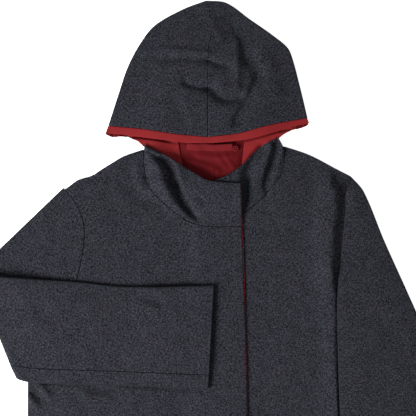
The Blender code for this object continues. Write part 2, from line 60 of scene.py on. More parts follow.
# The body, from side seam to side seam, and the front edge with the red facing that turns out past it.
BUST_HALF = 0.270
HEM_HALF = 0.280
HEM_Y = -0.480
HEM_DIP = 0.006
FRONT_HEM_DIP = 0.004
NECK_SEAM_Y = 0.2043
FRONT_EDGE_HEM_X = 0.0640
UNDERLAP_X = -0.0060
FLY_FACING = 0.0200
FACING_SHOWS = 0.0006
EDGE_TURN = 0.0018
EDGE_TURN_START = 0.95
EDGE_TURN_RUN = 0.02
EDGE_TURN_LOW_Y = -0.05
EDGE_TURN_HIGH = 0.20
EDGE_TURN_END = 0.01

# How far each part stands up off what it lies on, and over what distance it does so.
BODY_RISE = 0.0030
EDGE_ROLL = 0.060
FOLD_CLEAR = 0.02
HOOD_RISE = 0.0088
HOOD_ROLL = 0.085
HIDDEN_SHIFT = 0.0008
SEAM_TUCK = 0.0016
TUCK_RUN = 0.003
COLLAR_RISE = 0.0120
UNDER_COLLAR_RISE = 0.0110
CHIN_EDGE_LEVEL = 0.0068
CHIN_DEPTH = 0.070
CHIN_EDGE_HEIGHT = 0.0637
CHIN_SIDE_SHARE = 0.85
CHIN_EDGE_FADE = 1 / 13
FLY_STEP = WOOL + COTTON + 2 * GAP
FLY_STEP_START = 0.034
FLY_STEP_RUN = 0.030
SLEEVE_RISE = 0.0020
WAVE = 0.0006
WAVE_LENGTH = 0.09
WAVE_SEED = 4

# Outlines and seams of the body: x to the left arm, y to the hood.
RIGHT_SHOULDER = [(-0.2150, 0.2590), (-0.1995, 0.2712), (-0.1931, 0.2745), (-0.1749, 0.2795),
                  (-0.1631, 0.2875), (-0.1415, 0.3008), (-0.1286, 0.3084), (-0.0975, 0.3190)]
LEFT_SHOULDER = [(0.1130, 0.3234), (0.1500, 0.3108), (0.1920, 0.2890), (0.2115, 0.2790)]
BACK_NECK = [(-0.0975, 0.3190), (0.0060, 0.3170), (0.1130, 0.3234)]
RIGHT_SIDE = [(-HEM_HALF, HEM_Y), (-0.2710, -0.1500), (-BUST_HALF, 0.0)]
LEFT_SIDE = [(HEM_HALF, HEM_Y), (0.2710, -0.1500), (BUST_HALF, 0.0)]
RIGHT_ARMHOLE = [(-BUST_HALF, 0.0), (-0.2180, 0.0600), (-0.1958, 0.1289), (-0.1878, 0.1676),
                 (-0.1856, 0.1934), (-0.1878, 0.2127), (-0.1974, 0.2363), (-0.2150, 0.2590)]
LEFT_ARMHOLE = [(BUST_HALF, 0.0), (0.2360, 0.0600), (0.2180, 0.1335), (0.2120, 0.2000), (0.2110, 0.2480),
                (0.2115, 0.2790)]
RIGHT_NECK_SEAM = [(-0.0975, 0.3000), (-0.0925, 0.2700), (-0.0765, 0.2475), (-0.0375, 0.2154),
                   (-0.0060, NECK_SEAM_Y), (0.0495, NECK_SEAM_Y)]
LEFT_NECK_SEAM = [(UNDERLAP_X, NECK_SEAM_Y), (0.0250, 0.2090), (0.0510, 0.2242), (0.0735, 0.2400),
                  (0.0885, 0.2565), (0.1070, 0.2800), (0.1130, 0.3000)]
RIGHT_HEM = [(-HEM_HALF, HEM_Y), (-0.1200, HEM_Y - FRONT_HEM_DIP), (FRONT_EDGE_HEM_X, HEM_Y - HEM_DIP)]
LEFT_HEM = [(UNDERLAP_X, HEM_Y - HEM_DIP), (0.1300, HEM_Y - FRONT_HEM_DIP), (HEM_HALF, HEM_Y)]
FRONT_EDGE_LOWER = [(FRONT_EDGE_HEM_X, HEM_Y - HEM_DIP), (0.0600, -0.2400), (0.0560, 0.0)]
FRONT_EDGE_UPPER = [(0.0560, 0.0), (0.0515, 0.1400)]
CHIN_EDGE_MIDDLE = (0.0480, 0.2400)
FACING_TOP = (0.0470, 0.2670)
RED_EDGE_LOWER = [(FRONT_EDGE_HEM_X + FACING_SHOWS, HEM_Y - HEM_DIP), (0.0606, -0.2400), (0.0566, 0.0)]
RED_EDGE_UPPER = [(0.0566, 0.0), (0.0523, 0.1400), (0.0503, NECK_SEAM_Y), (0.0487, 0.2400), (0.0474, 0.2670)]
FLY_STITCH_LINE = [(0.0120, HEM_Y), (0.0113, -0.0780), (0.0071, 0.1220), (0.0035, 0.2040)]

# The sleeves: the elbow crease and cuff of the folded one, and how far it lifts there.
CREASE_OUTER = np.array((-0.3480, 0.1370))
CREASE_UNDER = np.array((-0.2850, -0.0195))
RIGHT_CUFF_OUTER = np.array((0.0068, 0.1160))
RIGHT_CUFF_UNDER = np.array((-0.0015, -0.0390))
FOLD_LEVEL = 0.0057
FOLD_ROLL = 0.0040
ELBOW_LIFT = 0.0115
ELBOW_LIFT_RUN = 0.45
ELBOW_LIFT_DEPTH = 0.35
ELBOW_ROUND = 0.009
ELBOW_PUSH = np.array((0.0010, 0.0025))
CUFF_LIFT = 0.0015
CUFF_SINK = 0.0010
CUFF_START = 0.8
CUFF_STEP_X = -0.140
CUFF_STEP_RUN = 0.090
ARMHOLE_TUCK = 0.0012
TUBE_INSET = 0.016
SEAM_NOTCH = 0.006
SEAM_LAP = 0.007
RIGHT_SEAM_SHARE = 0.125
RIGHT_SLEEVE_WIDTH = 0.157
UPPER_ARM_LENGTH = 0.17
FOREARM_LENGTH = 0.33
FOREARM_CELL = 0.0042
LEFT_SEAM_SHARE = 0.25
LEFT_SLEEVE_WIDTH = 0.15
LEFT_SLEEVE_LENGTH = 0.50
SLEEVE_CELL = 0.0045
UNDER_WEAVE = 0.4

# Each row: outer x, outer y, inner x, inner y.
LEFT_SLEEVE = [
    (0.2108, 0.2767, 0.2045, 0.2540),
    (0.2298, 0.2544, 0.2050, 0.2300),
    (0.2607, 0.1815, 0.1992, 0.1700),
    (0.2965, 0.1040, 0.1917, 0.0900),
    (0.3290, 0.0300, 0.1925, 0.0150),
    (0.3480, -0.0350, 0.1940, -0.0450),
    (0.3550, -0.1100, 0.1965, -0.1100),
    (0.3600, -0.2325, 0.1980, -0.2355),
]
LEFT_SLEEVE_LEVEL = FRONT_LEVEL + WOOL + 0.0014
SIDE_DROP = 0.120
SIDE_CLEAR = 0.003

# The hood, its facings, and what shows in the neck.
HOOD_TIP = (-0.0045, 0.5400)
CENTRE_SEAM = [(-0.0015, 0.3375), (-0.0015, 0.4200), (-0.0010, 0.4650), (0.0025, 0.4900)]
SEAM_NEAR_TIP = (0.0045, 0.5070)
HOOD_LENGTH = 0.20
HOOD_HALF_WIDTH = 0.15
HOOD_CELL = 0.0032
RIGHT_HOOD_EDGE = [(-0.1510, 0.3545), (-0.1365, 0.3990), (-0.1215, 0.4425), (-0.1020, 0.4785),
                   (-0.0810, 0.5040), (-0.0400, 0.5270), HOOD_TIP]
LEFT_HOOD_EDGE = [(0.1470, 0.3660), (0.1365, 0.4095), (0.1245, 0.4545), (0.1170, 0.4710),
                  (0.0930, 0.4905), (0.0600, 0.5130), (0.0250, 0.5370), HOOD_TIP]
RIGHT_HOOD_FRONT = [(-0.0015, 0.3375), (-0.0500, 0.3420), (-0.1000, 0.3495), (-0.1510, 0.3545)]
LEFT_HOOD_FRONT = [(-0.0015, 0.3375), (0.0465, 0.3435), (0.0825, 0.3535), (0.1180, 0.3610),
                   (0.1470, 0.3660)]
RIGHT_NAPE = [(-0.0015, 0.3185), (-0.0500, 0.3215), (-0.0985, 0.3285), (-0.1280, 0.3400),
              (-0.1510, 0.3545)]
LEFT_NAPE = [(-0.0015, 0.3185), (0.0500, 0.3220), (0.0900, 0.3330), (0.1050, 0.3490), (0.1250, 0.3565),
             (0.1470, 0.3660)]
RIGHT_BAND_LOWER = [(0.0045, 0.3278), (-0.0315, 0.3282), (-0.0885, 0.3354), (-0.1350, 0.3410),
                    (-0.1550, 0.3432)]
LEFT_BAND_LOWER = [(0.0045, 0.3278), (0.0555, 0.3333), (0.0945, 0.3435), (0.1275, 0.3530),
                   (0.1500, 0.3580)]
BAND_SEAM = 0.0005
BAND_EDGE = 0.0005
BAND_EDGE_RUN = 0.0035
CHIN_REACH = 0.012
FACING_FALL_START = 0.45
FACING_FALL_RUN = 0.5

RIGHT_OPENING = [(0.0470, 0.2680), (0.0120, 0.2703), (-0.0053, 0.2741), (-0.0255, 0.2855),
                 (-0.0465, 0.2985), (-0.0710, 0.3129), (-0.0965, 0.3260)]
LEFT_OPENING = [(UNDERLAP_X, 0.2640), (0.0120, 0.2740), (0.0240, 0.2784), (0.0465, 0.2933),
                (0.0700, 0.3165), (0.0840, 0.3270), (0.1035, 0.3365)]
RIGHT_NECK_FOLD = [RIGHT_NECK_SEAM[0], (-0.0966, 0.3130), (-0.0965, 0.3260)]
LEFT_NECK_FOLD = [LEFT_NECK_SEAM[-1], (0.1115, 0.3200), (0.1035, 0.3365)]

LINING_RIGHT_X = -0.050
LINING_RIGHT_RUN = 0.020
LINING_LEFT_X = 0.056
LINING_LEFT_RUN = 0.016
LINING_TOP_Y = 0.3285
LINING_TOP_RUN = 0.004
LINING_LOWER = [(-0.0520, 0.2920), (-0.0200, 0.2720), (0.0040, 0.2640), (0.0300, 0.2740), (0.0600, 0.2900)]
LINING_UPPER = [(-0.0560, 0.3340), (0.0640, 0.3370)]
TAPE_LOWER = [(-0.0330, 0.3178), (-0.0160, 0.3165), (-0.0080, 0.3172), (0.0060, 0.3158), (0.0350, 0.3172)]
TAPE_WIDTH = 0.0100
RIGHT_FACING_LOWER = [(-0.1215, 0.3385), (-0.1080, 0.3318), (-0.0965, 0.3220), (-0.0710, 0.3080),
                      (-0.0465, 0.2930), (-0.0380, 0.2890)]
RIGHT_FACING_UPPER = [(-0.1190, 0.3430), (-0.0900, 0.3420), (-0.0465, 0.3350)]
RIGHT_FACING_END = [(-0.0380, 0.2890), (-0.0415, 0.3050), (-0.0465, 0.3350)]
LEFT_FACING_LOWER = [(0.1240, 0.3472), (0.1125, 0.3415), (0.1020, 0.3335), (0.0840, 0.3220),
                     (0.0600, 0.3010), (0.0480, 0.2900)]
LEFT_FACING_UPPER = [(0.1220, 0.3560), (0.0900, 0.3480), (0.0540, 0.3400)]
LEFT_FACING_END = [(0.0480, 0.2900), (0.0500, 0.3050), (0.0540, 0.3400)]
RIGHT_CORNER_UPPER = [(-0.1545, 0.3445), (-0.1350, 0.3423), (-0.1225, 0.3400)]
RIGHT_CORNER_LOWER = [(-0.1545, 0.3410), (-0.1450, 0.3370), (-0.1330, 0.3375), (-0.1228, 0.3370)]
LEFT_CORNER_UPPER = [(0.1490, 0.3590), (0.1375, 0.3565), (0.1205, 0.3520)]
LEFT_CORNER_LOWER = [(0.1480, 0.3550), (0.1420, 0.3518), (0.1330, 0.3490), (0.1250, 0.3475),
                     (0.1205, 0.3455)]
CORNER_CRUMPLE = 0.0035
CORNER_CURL = 0.0040
CORNER_WAVES = 9
CORNER_CELL = 0.0008

LOOP_CENTRE = Vector((0.0397, 0.3200, TAPE_LEVEL + 0.0040))
LOOP_RADIUS = 0.0034
LOOP_THICK = 0.0012
STITCH_PITCH = 0.0033
STITCH_SHARE = 0.82
STITCH_THICK = 0.0007

# How closely the grids are spaced, and how round a cut edge is.
CELL = 0.0036
FINE_CELL = 0.0012
BACK_CELL = 0.012
UNDER_FOREARM_ROWS = (0.48, 0.52)
BESIDE_SLEEVE_COLUMNS = (0.62, 0.80)
CHIN_CELL = 0.0020
BAND_CELL = 0.0024
RIM = 0.0026
RIM_SHARE = 0.12
RIM_ROWS = (0.0, 0.0004, 0.0010, 0.0018, 0.0030)

# The width and height over which the grid of a cloth that lies in one layer is spaced.
SPANS = {
    "back_cloth": (2 * HEM_HALF, 0.80),
    "right_front_cloth": (0.36, 0.72),
    "left_front_cloth": (0.30, 0.74),
    "front_edge_red": (FLY_FACING + FACING_SHOWS, 0.75),
    "right_chin_cloth": (0.17, 0.075),
    "left_chin_cloth": (0.14, 0.07),
    "hood_edge_red": (0.31, 0.010),
    "right_side_red": (0.09, 0.035),
    "left_side_red": (0.09, 0.035),
    "right_corner_red": (0.032, 0.007),
    "left_corner_red": (0.032, 0.007),
    "neck_lining_red": (0.12, 0.06),
    "neck_tape_red": (0.068, TAPE_WIDTH),
}

# ---------------------------------------------------------------- folds
# Each fold: its height (a valley's is below nought), its reach to the left and right of its route, its route.
HOOD_FOLDS = [
    (-0.0065, 0.010, 0.010, [(0.0480, 0.5020), (0.0540, 0.4800), (0.0600, 0.4560)]),
    (-0.0032, 0.010, 0.010, [(0.0600, 0.4560), (0.0690, 0.4420), (0.0750, 0.4280)]),
    (0.0030, 0.006, 0.006, [(0.0430, 0.4800), (0.0420, 0.4480), (0.0440, 0.4150)]),
    (-0.0060, 0.010, 0.004, [(0.0740, 0.4300), (0.0645, 0.4110), (0.0590, 0.3950), (0.0495, 0.3800),
                             (0.0390, 0.3630)]),
    (-0.0080, 0.005, 0.008, [(0.0030, 0.4120), (0.0150, 0.4000), (0.0270, 0.3950), (0.0470, 0.3968)]),
    (0.0040, 0.007, 0.007, [(0.0220, 0.4100), (0.0400, 0.4110)]),
    (-0.0060, 0.005, 0.006, [(-0.0360, 0.4190), (-0.0260, 0.4150), (-0.0060, 0.4120)]),
    (0.0013, 0.006, 0.006, [(0.0040, 0.5160), (0.0100, 0.4990), (0.0200, 0.4830)]),
    (-0.0050, 0.005, 0.006, [(0.0020, 0.4520), (0.0150, 0.4460), (0.0260, 0.4450)]),
    (0.0026, 0.005, 0.005, [(-0.0950, 0.4640), (-0.0668, 0.4667), (-0.0023, 0.4625)]),
    (-0.0036, 0.005, 0.007, [(-0.0860, 0.4540), (-0.0600, 0.4565), (-0.0050, 0.4540)]),
    (-0.0020, 0.012, 0.012, [(-0.1150, 0.4000), (-0.0900, 0.4350)]),
    (-0.0020, 0.010, 0.014, [(-0.0500, 0.3900), (-0.0380, 0.3600)]),
    (0.0018, 0.012, 0.012, [(0.0900, 0.4500), (0.1000, 0.4000)]),
]
BODY_FOLDS = [
    (-0.0036, 0.008, 0.012, [(-0.1215, 0.3000), (-0.1220, 0.2840), (-0.1180, 0.2660), (-0.1060, 0.2500),
                             (-0.0860, 0.2420)]),
    (0.0026, 0.008, 0.009, [(-0.1060, 0.2900), (-0.1000, 0.2660), (-0.0860, 0.2540)]),
    (0.0060, 0.010, 0.010, [(-0.0760, 0.2660), (-0.0560, 0.2420), (-0.0370, 0.2250)]),
    (-0.0014, 0.014, 0.014, [(-0.1460, 0.2480), (-0.1400, 0.2260)]),
    (-0.0014, 0.010, 0.010, [(0.1580, 0.2740), (0.1630, 0.2620)]),
    (-0.0026, 0.005, 0.005, [(0.0885, 0.2900), (0.0880, 0.2600), (0.0870, 0.2480)]),
    (-0.0062, 0.0045, 0.006, [(-0.2660, -0.0330), (-0.2590, -0.0460), (-0.2460, -0.0590)]),
    (0.0065, 0.006, 0.006, [(-0.2680, -0.0500), (-0.2600, -0.0620)]),
    (0.0050, 0.006, 0.006, [(-0.2500, -0.0380), (-0.2420, -0.0480)]),
    (-0.0055, 0.006, 0.008, [(-0.1780, -0.0350), (-0.1540, -0.0380)]),
    (0.0025, 0.008, 0.008, [(-0.1800, -0.0520), (-0.1550, -0.0530)]),
    (0.0120, 0.0110, 0.022, [(0.1860, 0.2560), (0.1870, 0.2350), (0.1830, 0.2000), (0.1815, 0.1700),
                             (0.1830, 0.1450)]),
    (0.0074, 0.0028, 0.018, [(0.1856, 0.1300), (0.1878, 0.0900), (0.1887, 0.0150), (0.1902, -0.0450),
                             (0.1926, -0.1100), (0.1942, -0.2350)]),
    (-0.0045, 0.0022, 0.0022, [(-0.2700, -0.0290), (-0.1845, -0.0322), (-0.1200, -0.0343),
                               (-0.0555, -0.0386), (-0.0090, -0.0415)]),
]
LEFT_CHIN_FOLDS = [
    (-0.0090, 0.0080, 0.0035, [(0.0985, 0.3260), (0.0945, 0.3080), (0.0885, 0.2860), (0.0850, 0.2640)]),
    (0.0040, 0.006, 0.007, [(0.0925, 0.3210), (0.0880, 0.3050), (0.0830, 0.2880)]),
    (-0.0102, 0.0085, 0.0080, [(0.0790, 0.3180), (0.0680, 0.3050), (0.0600, 0.2900), (0.0565, 0.2750),
                               (0.0530, 0.2550), (0.0500, 0.2350)]),
]
DEEP_FOLD = [(-0.0590, 0.3020), (-0.0540, 0.2900), (-0.0490, 0.2740), (-0.0400, 0.2520), (-0.0300, 0.2335),
             (-0.0190, 0.2180)]
RIGHT_CHIN_FOLDS = [
    (-0.0075, 0.0035, 0.0115, DEEP_FOLD),
    (-0.0045, 0.0030, 0.0070, DEEP_FOLD),
    (0.0030, 0.012, 0.003, [(-0.0450, 0.2820), (-0.0370, 0.2580), (-0.0260, 0.2380)]),
    (0.0070, 0.010, 0.012, [(-0.0850, 0.3110), (-0.0790, 0.2925), (-0.0700, 0.2720), (-0.0600, 0.2560)]),
    (-0.0060, 0.0030, 0.0070, [(-0.0850, 0.3130), (-0.0760, 0.3070), (-0.0680, 0.3030), (-0.0600, 0.2985)]),
    (-0.0025, 0.004, 0.005, [(-0.0130, 0.2450), (-0.0080, 0.2400)]),
]
FOREARM_FOLDS = [
    (-0.0060, 0.004, 0.008, [(-0.1180, 0.1065), (-0.1000, 0.1045), (-0.0870, 0.1005), (-0.0790, 0.0960)]),
    (-0.0014, 0.012, 0.014, [(-0.2620, 0.0950), (-0.2350, 0.0600)]),
    (0.0014, 0.014, 0.016, [(-0.2050, 0.0960), (-0.1800, 0.0840)]),
    (0.0024, 0.008, 0.010, [(-0.1000, 0.0900), (-0.0820, 0.0830)]),
    (0.0018, 0.006, 0.008, [(-0.0960, 0.1120), (-0.0760, 0.1080)]),
    (-0.0012, 0.004, 0.004, [(-0.2060, 0.0180), (-0.1880, 0.0120)]),
    (-0.0012, 0.009, 0.010, [(-0.1350, 0.0010), (-0.1080, -0.0030)]),
    (-0.0012, 0.003, 0.004, [(-0.3250, 0.0400), (-0.3000, 0.0420), (-0.2800, 0.0380)]),
    (-0.0010, 0.003, 0.004, [(-0.3200, 0.0580), (-0.2950, 0.0570)]),
    (-0.0014, 0.010, 0.012, [(-0.3050, 0.0900), (-0.2750, 0.0850)]),
]
LEFT_SLEEVE_FOLDS = [
    (-0.0016, 0.010, 0.010, [(0.2400, 0.1730), (0.2560, 0.1680)]),
    (-0.0014, 0.014, 0.014, [(0.2620, 0.0600), (0.2860, 0.0300)]),
]
LINING_FOLDS = [
    (0.0016, 0.004, 0.003, [(-0.0350, 0.3020), (-0.0100, 0.2960), (0.0150, 0.2850)]),
    (0.0018, 0.005, 0.003, [(-0.0150, 0.3090), (0.0120, 0.3060), (0.0340, 0.3095)]),
    (0.0016, 0.0025, 0.002, [(-0.0060, 0.2850), (-0.0020, 0.2700)]),
    (0.0016, 0.002, 0.0025, [(0.0060, 0.2850), (0.0040, 0.2700)]),
    (0.0014, 0.002, 0.002, [(0.0140, 0.2860), (0.0110, 0.2760)]),
    (0.0016, 0.003, 0.002, [(0.0250, 0.3080), (0.0360, 0.2920)]),
    (0.0012, 0.003, 0.002, [(0.0120, 0.3060), (0.0250, 0.2920)]),
]


# ---------------------------------------------------------------- curves and plans, on arrays of points
def ease(amount):
    """Rise softly from 0 to 1."""
    held = np.clip(amount, 0.0, 1.0)
    return held * held * (3 - 2 * held)


def run(points):
    """Return a soft curve through the points, as a function of 0 to 1 by length, and its length."""
    knots = np.array(points, float)
    marks = np.concatenate([[0.0], np.cumsum(np.linalg.norm(np.diff(knots, axis=0), axis=1))])
    low = np.maximum(np.arange(len(knots)) - 1, 0)
    high = np.minimum(np.arange(len(knots)) + 1, len(knots) - 1)
    slopes = (knots[high] - knots[low]) / (marks[high] - marks[low])[:, None]

    def at(share):
        mark = np.clip(np.atleast_1d(share), 0.0, 1.0) * marks[-1]
        index = np.clip(np.searchsorted(marks, mark) - 1, 0, len(knots) - 2)
        span = (marks[index + 1] - marks[index])[:, None]
        part = (mark - marks[index])[:, None] / span
        turned = ease(part)
        leave = part * (1 - part) ** 2 * span
        arrive = part * part * (part - 1) * span
        line = knots[index] * (1 - turned) + knots[index + 1] * turned
        return line + slopes[index] * leave + slopes[index + 1] * arrive

    return at, marks[-1]


def chain(*lists, parts=None):
    """Join soft curves end to end, with a corner where they meet, each taking its part of 0 to 1."""
    runs = [run(points) for points in lists]
    weights = parts or [length for _, length in runs]
    ends = np.cumsum(weights) / sum(weights)

    def at(share):
        share = np.atleast_1d(np.asarray(share, float))
        places = np.zeros((len(share), 2))
        start = 0.0
        for number, ((curve, _), end) in enumerate(zip(runs, ends)):
            last = number == len(runs) - 1
            chosen = (share >= (start if number else -1)) & (share < (np.inf if last else end))
            if chosen.any():
                places[chosen] = curve((share[chosen] - start) / (end - start))
            start = end
        return places

    return at


def back(curve):
    """Run a curve the other way."""
    return lambda share: curve(1 - np.atleast_1d(share))


def offset(curve, x, y):
    """Move a curve by a fixed step."""
    return lambda share: curve(share) + np.array((x, y))


def patch(bottom, top, left, right, hold=1):
    """Return the plan of a piece between four edge curves; a higher hold keeps the sides' bends near them."""
    def at(across, up):
        a, u = across[:, None], up[:, None]
        ruled = bottom(across) * (1 - u) + top(across) * u
        left_bend = left(up) - left(0) * (1 - u) - left(1) * u
        right_bend = right(up) - right(0) * (1 - u) - right(1) * u
        return ruled + left_bend * (1 - a) ** hold + right_bend * a ** hold

    return at


def reach(spots, route):
    """Return each plan point's distance to a route, and on which side of it the point lies."""
    best = np.full(len(spots), 1.0)
    side = np.zeros(len(spots))
    route = np.asarray(route, float)
    for start, end in zip(route, route[1:]):
        way = end - start
        off = spots - start
        share = np.clip(off @ way / (way @ way), 0, 1)
        gap = np.linalg.norm(off - share[:, None] * way, axis=1)
        nearer = gap < best
        best[nearer] = gap[nearer]
        side[nearer] = np.sign(way[0] * off[nearer, 1] - way[1] * off[nearer, 0])
    return best, side


def folds(spots, table):
    """Return the height that a table of folds adds at each plan point."""
    total = np.zeros(len(spots))
    for height, left, right, route in table:
        far, side = reach(spots, run(route)[0](np.linspace(0, 1, 13)))
        total += height * np.exp(-(far / np.where(side > 0, left, right)) ** 2)
    return total


def ripple(spots, size, seed):
    """Return a smooth random height between about -1 and 1, the same every time."""
    places = np.random.default_rng(seed)
    total = np.zeros(len(spots))
    for _ in range(9):
        turn = places.uniform(0, 2 * pi)
        length = size * places.uniform(0.7, 1.6)
        along = spots @ np.array((cos(turn), sin(turn)))
        total += np.sin(2 * pi * along / length + places.uniform(0, 2 * pi))
    return total / 3


def strip(lower, upper):
    """Return the plan of a strip between two curves, with straight ends."""
    return patch(lower, upper, chain([lower(0)[0], upper(0)[0]]), chain([lower(1)[0], upper(1)[0]]))


TOP_BOW = run([(0.0, 0.0), (0.27, -0.0028), (0.43, -0.0042), (0.60, -0.0080), (0.76, -0.0062),
               (0.90, -0.0026), (1.0, 0.0)])[0]
UNDER_BOW = run([(0.0, 0.0), (0.14, -0.0012), (0.25, -0.0050), (0.50, -0.0028), (0.75, -0.0010),
                 (1.0, 0.0)])[0]
LEFT_OUTLINE = chain(LEFT_SIDE, [LEFT_SIDE[-1], LEFT_SHOULDER[-1]],
                     LEFT_SHOULDER[::-1])(np.linspace(0, 1, 25))
RIGHT_OUTLINE = chain(RIGHT_SIDE, [RIGHT_SIDE[-1], CREASE_UNDER], [CREASE_UNDER, CREASE_OUTER],
                      [CREASE_OUTER, RIGHT_SHOULDER[0]], RIGHT_SHOULDER)(np.linspace(0, 1, 61))
HOOD_OUTLINE = chain(RIGHT_HOOD_EDGE, LEFT_HOOD_EDGE[::-1])(np.linspace(0, 1, 61))
BODY_ROWS = (9, 8)
SAMPLES = np.linspace(0, 1, 41)


def body_rise(spots):
    """Return how far the front of the body and the upper arm rise off the back at each plan point."""
    far = np.where(spots[:, 0] > 0, reach(spots, LEFT_OUTLINE)[0], reach(spots, RIGHT_OUTLINE)[0])
    return BODY_RISE * ease(far / EDGE_ROLL)


def fly_step(spots):
    """Return the rise of the right front where it laps over the left one."""
    return FLY_STEP * ease((spots[:, 0] - UNDERLAP_X + FLY_STEP_START) / FLY_STEP_RUN)


def hood_rise(spots):
    """Return how far the hood's upper layer rises at each plan point."""
    return HOOD_RISE * ease(reach(spots, HOOD_OUTLINE)[0] / HOOD_ROLL)


def graded(length, cell=CELL, fine=None):
    """Return shares of 0 to 1 along a length, close together at both ends and over the fine stretch."""
    ends = np.array(RIM_ROWS) / length
    count = max(round((length - 2 * RIM_ROWS[-1]) / cell), 1)
    middle = np.linspace(ends[-1], 1 - ends[-1], count + 1)[1:-1]
    if fine:
        close = np.linspace(fine[0], fine[1], round((fine[1] - fine[0]) * length / FINE_CELL))
        middle = np.concatenate([middle[middle < fine[0]], close, middle[middle > fine[1]]])
    return np.concatenate([ends, middle, (1 - ends)[::-1]])


# ---------------------------------------------------------------- making a piece
def lay(name, mesh, finish):
    """Turn a finished mesh into a smooth object with its material."""
    data = bpy.data.meshes.new(name)
    mesh.to_mesh(data)
    mesh.free()
    data.shade_smooth()
    data.materials.append(finish)
    made = bpy.data.objects.new(name, data)
    bpy.context.scene.collection.objects.link(made)
    return made


def cloth(name, columns, rows, place, finish):
    """Build a closed sheet from a thickened grid.

    place(across, up, face) takes arrays of shares and faces (0 below, 1 above) and returns the corners in
    metres and the same corners on the cut cloth, for the weave.
    """
    mesh = bmesh.new()
    bmesh.ops.create_grid(mesh, x_segments=len(columns) - 1, y_segments=len(rows) - 1, size=0.5)
    grown = bmesh.ops.extrude_face_region(mesh, geom=mesh.faces[:])
    raised = [item for item in grown["geom"] if isinstance(item, bmesh.types.BMVert)]
    bmesh.ops.translate(mesh, verts=raised, vec=(0, 0, 1))
    made = lay(name, mesh, finish)
    data = made.data
    unit = np.empty(len(data.vertices) * 3)
    data.vertices.foreach_get("co", unit)
    unit = unit.reshape(-1, 3)
    column = np.rint((unit[:, 0] + 0.5) * (len(columns) - 1)).astype(int)
    row = np.rint((unit[:, 1] + 0.5) * (len(rows) - 1)).astype(int)
    corners, cut = place(column, row, np.rint(unit[:, 2]))
    data.vertices.foreach_set("co", corners.ravel())
    corner_of = np.empty(len(data.loops), int)
    data.loops.foreach_get("vertex_index", corner_of)
    weave = data.uv_layers.new(name="weave")
    weave.data.foreach_set("uv", cut[corner_of].ravel())
    data.update()
    data.calc_loop_triangles()
    triangles = np.empty(len(data.loop_triangles) * 3, int)
    data.loop_triangles.foreach_get("vertices", triangles)
    one, two, three = (corners[triangles.reshape(-1, 3)[:, number]] for number in range(3))
    if np.einsum("ij,ij->i", one, np.cross(two, three)).sum() < 0:
        data.flip_normals()
    return made


def rounded(edge, thick, face):
    """Return a face's height within the cloth, which is drawn in to a soft round near its edge."""
    into = np.clip(edge / RIM, 0, 1)
    half = RIM_SHARE + (1 - RIM_SHARE) * np.sqrt(1 - (1 - into) ** 2)
    return thick * (0.5 + (face - 0.5) * half)


def flat_cloth(name, plan, level, thick, finish, cell=CELL, fine=(None, None)):
    """Build a cloth in one layer whose underside lies at level(spots, across, up)."""
    width, height = SPANS[name]
    columns, rows = graded(width, cell, fine[0]), graded(height, cell, fine[1])

    def place(column, row, face):
        across, up = columns[column], rows[row]
        spots = plan(across, up)
        edge = np.minimum(np.minimum(across, 1 - across) * width, np.minimum(up, 1 - up) * height)
        heights = level(spots, across, up) + rounded(edge, thick, face)
        return np.column_stack([spots, heights]), spots

    return cloth(name, columns, rows, place, finish)


def stations(legs):
    """Return the across and turn shares round a folded section, leg by leg."""
    rounds = [(legs[0][1], legs[0][3])]
    for count, start, end, turn_from, turn_to in legs:
        for index in range(1, count + 1):
            share = index / count
            rounds.append((start + (end - start) * share, turn_from + (turn_to - turn_from) * share))
    return np.array(rounds)


def section(plan, across, turn, up, face, step=0.02):
    """Return the plan points and heights of corners on a flattened fold that lies at level 0."""
    before = plan(np.maximum(across - step, 0), up)
    after = plan(np.minimum(across + step, 1), up)
    way = after - before
    way /= np.linalg.norm(way, axis=1)[:, None]
    radius = GAP / 2 + WOOL * face
    spots = plan(across, up) + way * (np.sin(turn) * radius)[:, None]
    return spots, GAP / 2 + WOOL + np.cos(turn) * radius


def tube_stations(seam_share, width):
    """Return the stations round a flattened sleeve, from one side of its seam round to the other."""
    far = 1 - TUBE_INSET
    seam_at = TUBE_INSET + (far - TUBE_INSET) * (1 - seam_share)
    count = round(width / CELL)
    return stations([
        (2, seam_at - SEAM_NOTCH, seam_at - 2 * SEAM_NOTCH, pi, pi),
        (round(count * (1 - seam_share)), seam_at - 2 * SEAM_NOTCH, TUBE_INSET, pi, pi),
        (8, TUBE_INSET, TUBE_INSET, pi, 2 * pi),
        (count, TUBE_INSET, far, 2 * pi, 2 * pi),
        (8, far, far, 2 * pi, 3 * pi),
        (round(count * seam_share), far, seam_at + SEAM_LAP, 3 * pi, 3 * pi),
        (2, seam_at + SEAM_LAP, seam_at, 3 * pi, 3 * pi),
    ])


# ---------------------------------------------------------------- the pieces
def dress(piece, node):
    """Hang a piece of cloth on the root body and hide the imported part that it stands for."""
    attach(piece, "root")
    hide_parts(node)


def back_cloth(wool):
    """The whole back of the body, flat on the floor."""
    hem = chain([(-HEM_HALF, HEM_Y), (0, HEM_Y - HEM_DIP), (HEM_HALF, HEM_Y)])
    top = chain(RIGHT_SHOULDER, BACK_NECK, LEFT_SHOULDER)
    plan = patch(hem, top, chain(RIGHT_SIDE, RIGHT_ARMHOLE, parts=BODY_ROWS),
                 chain(LEFT_SIDE, LEFT_ARMHOLE, parts=BODY_ROWS))

    def widened(across, up):
        spots = plan(across, up)
        spots[:, 0] -= SEAM_TUCK * np.clip(1 - across * SPANS["back_cloth"][0] / TUCK_RUN, 0, 1)
        return spots

    def level(spots, across, up):
        return 0.0

    piece = flat_cloth("back_cloth", widened, level, WOOL, wool, BACK_CELL)
    dress(piece, "back_panel")


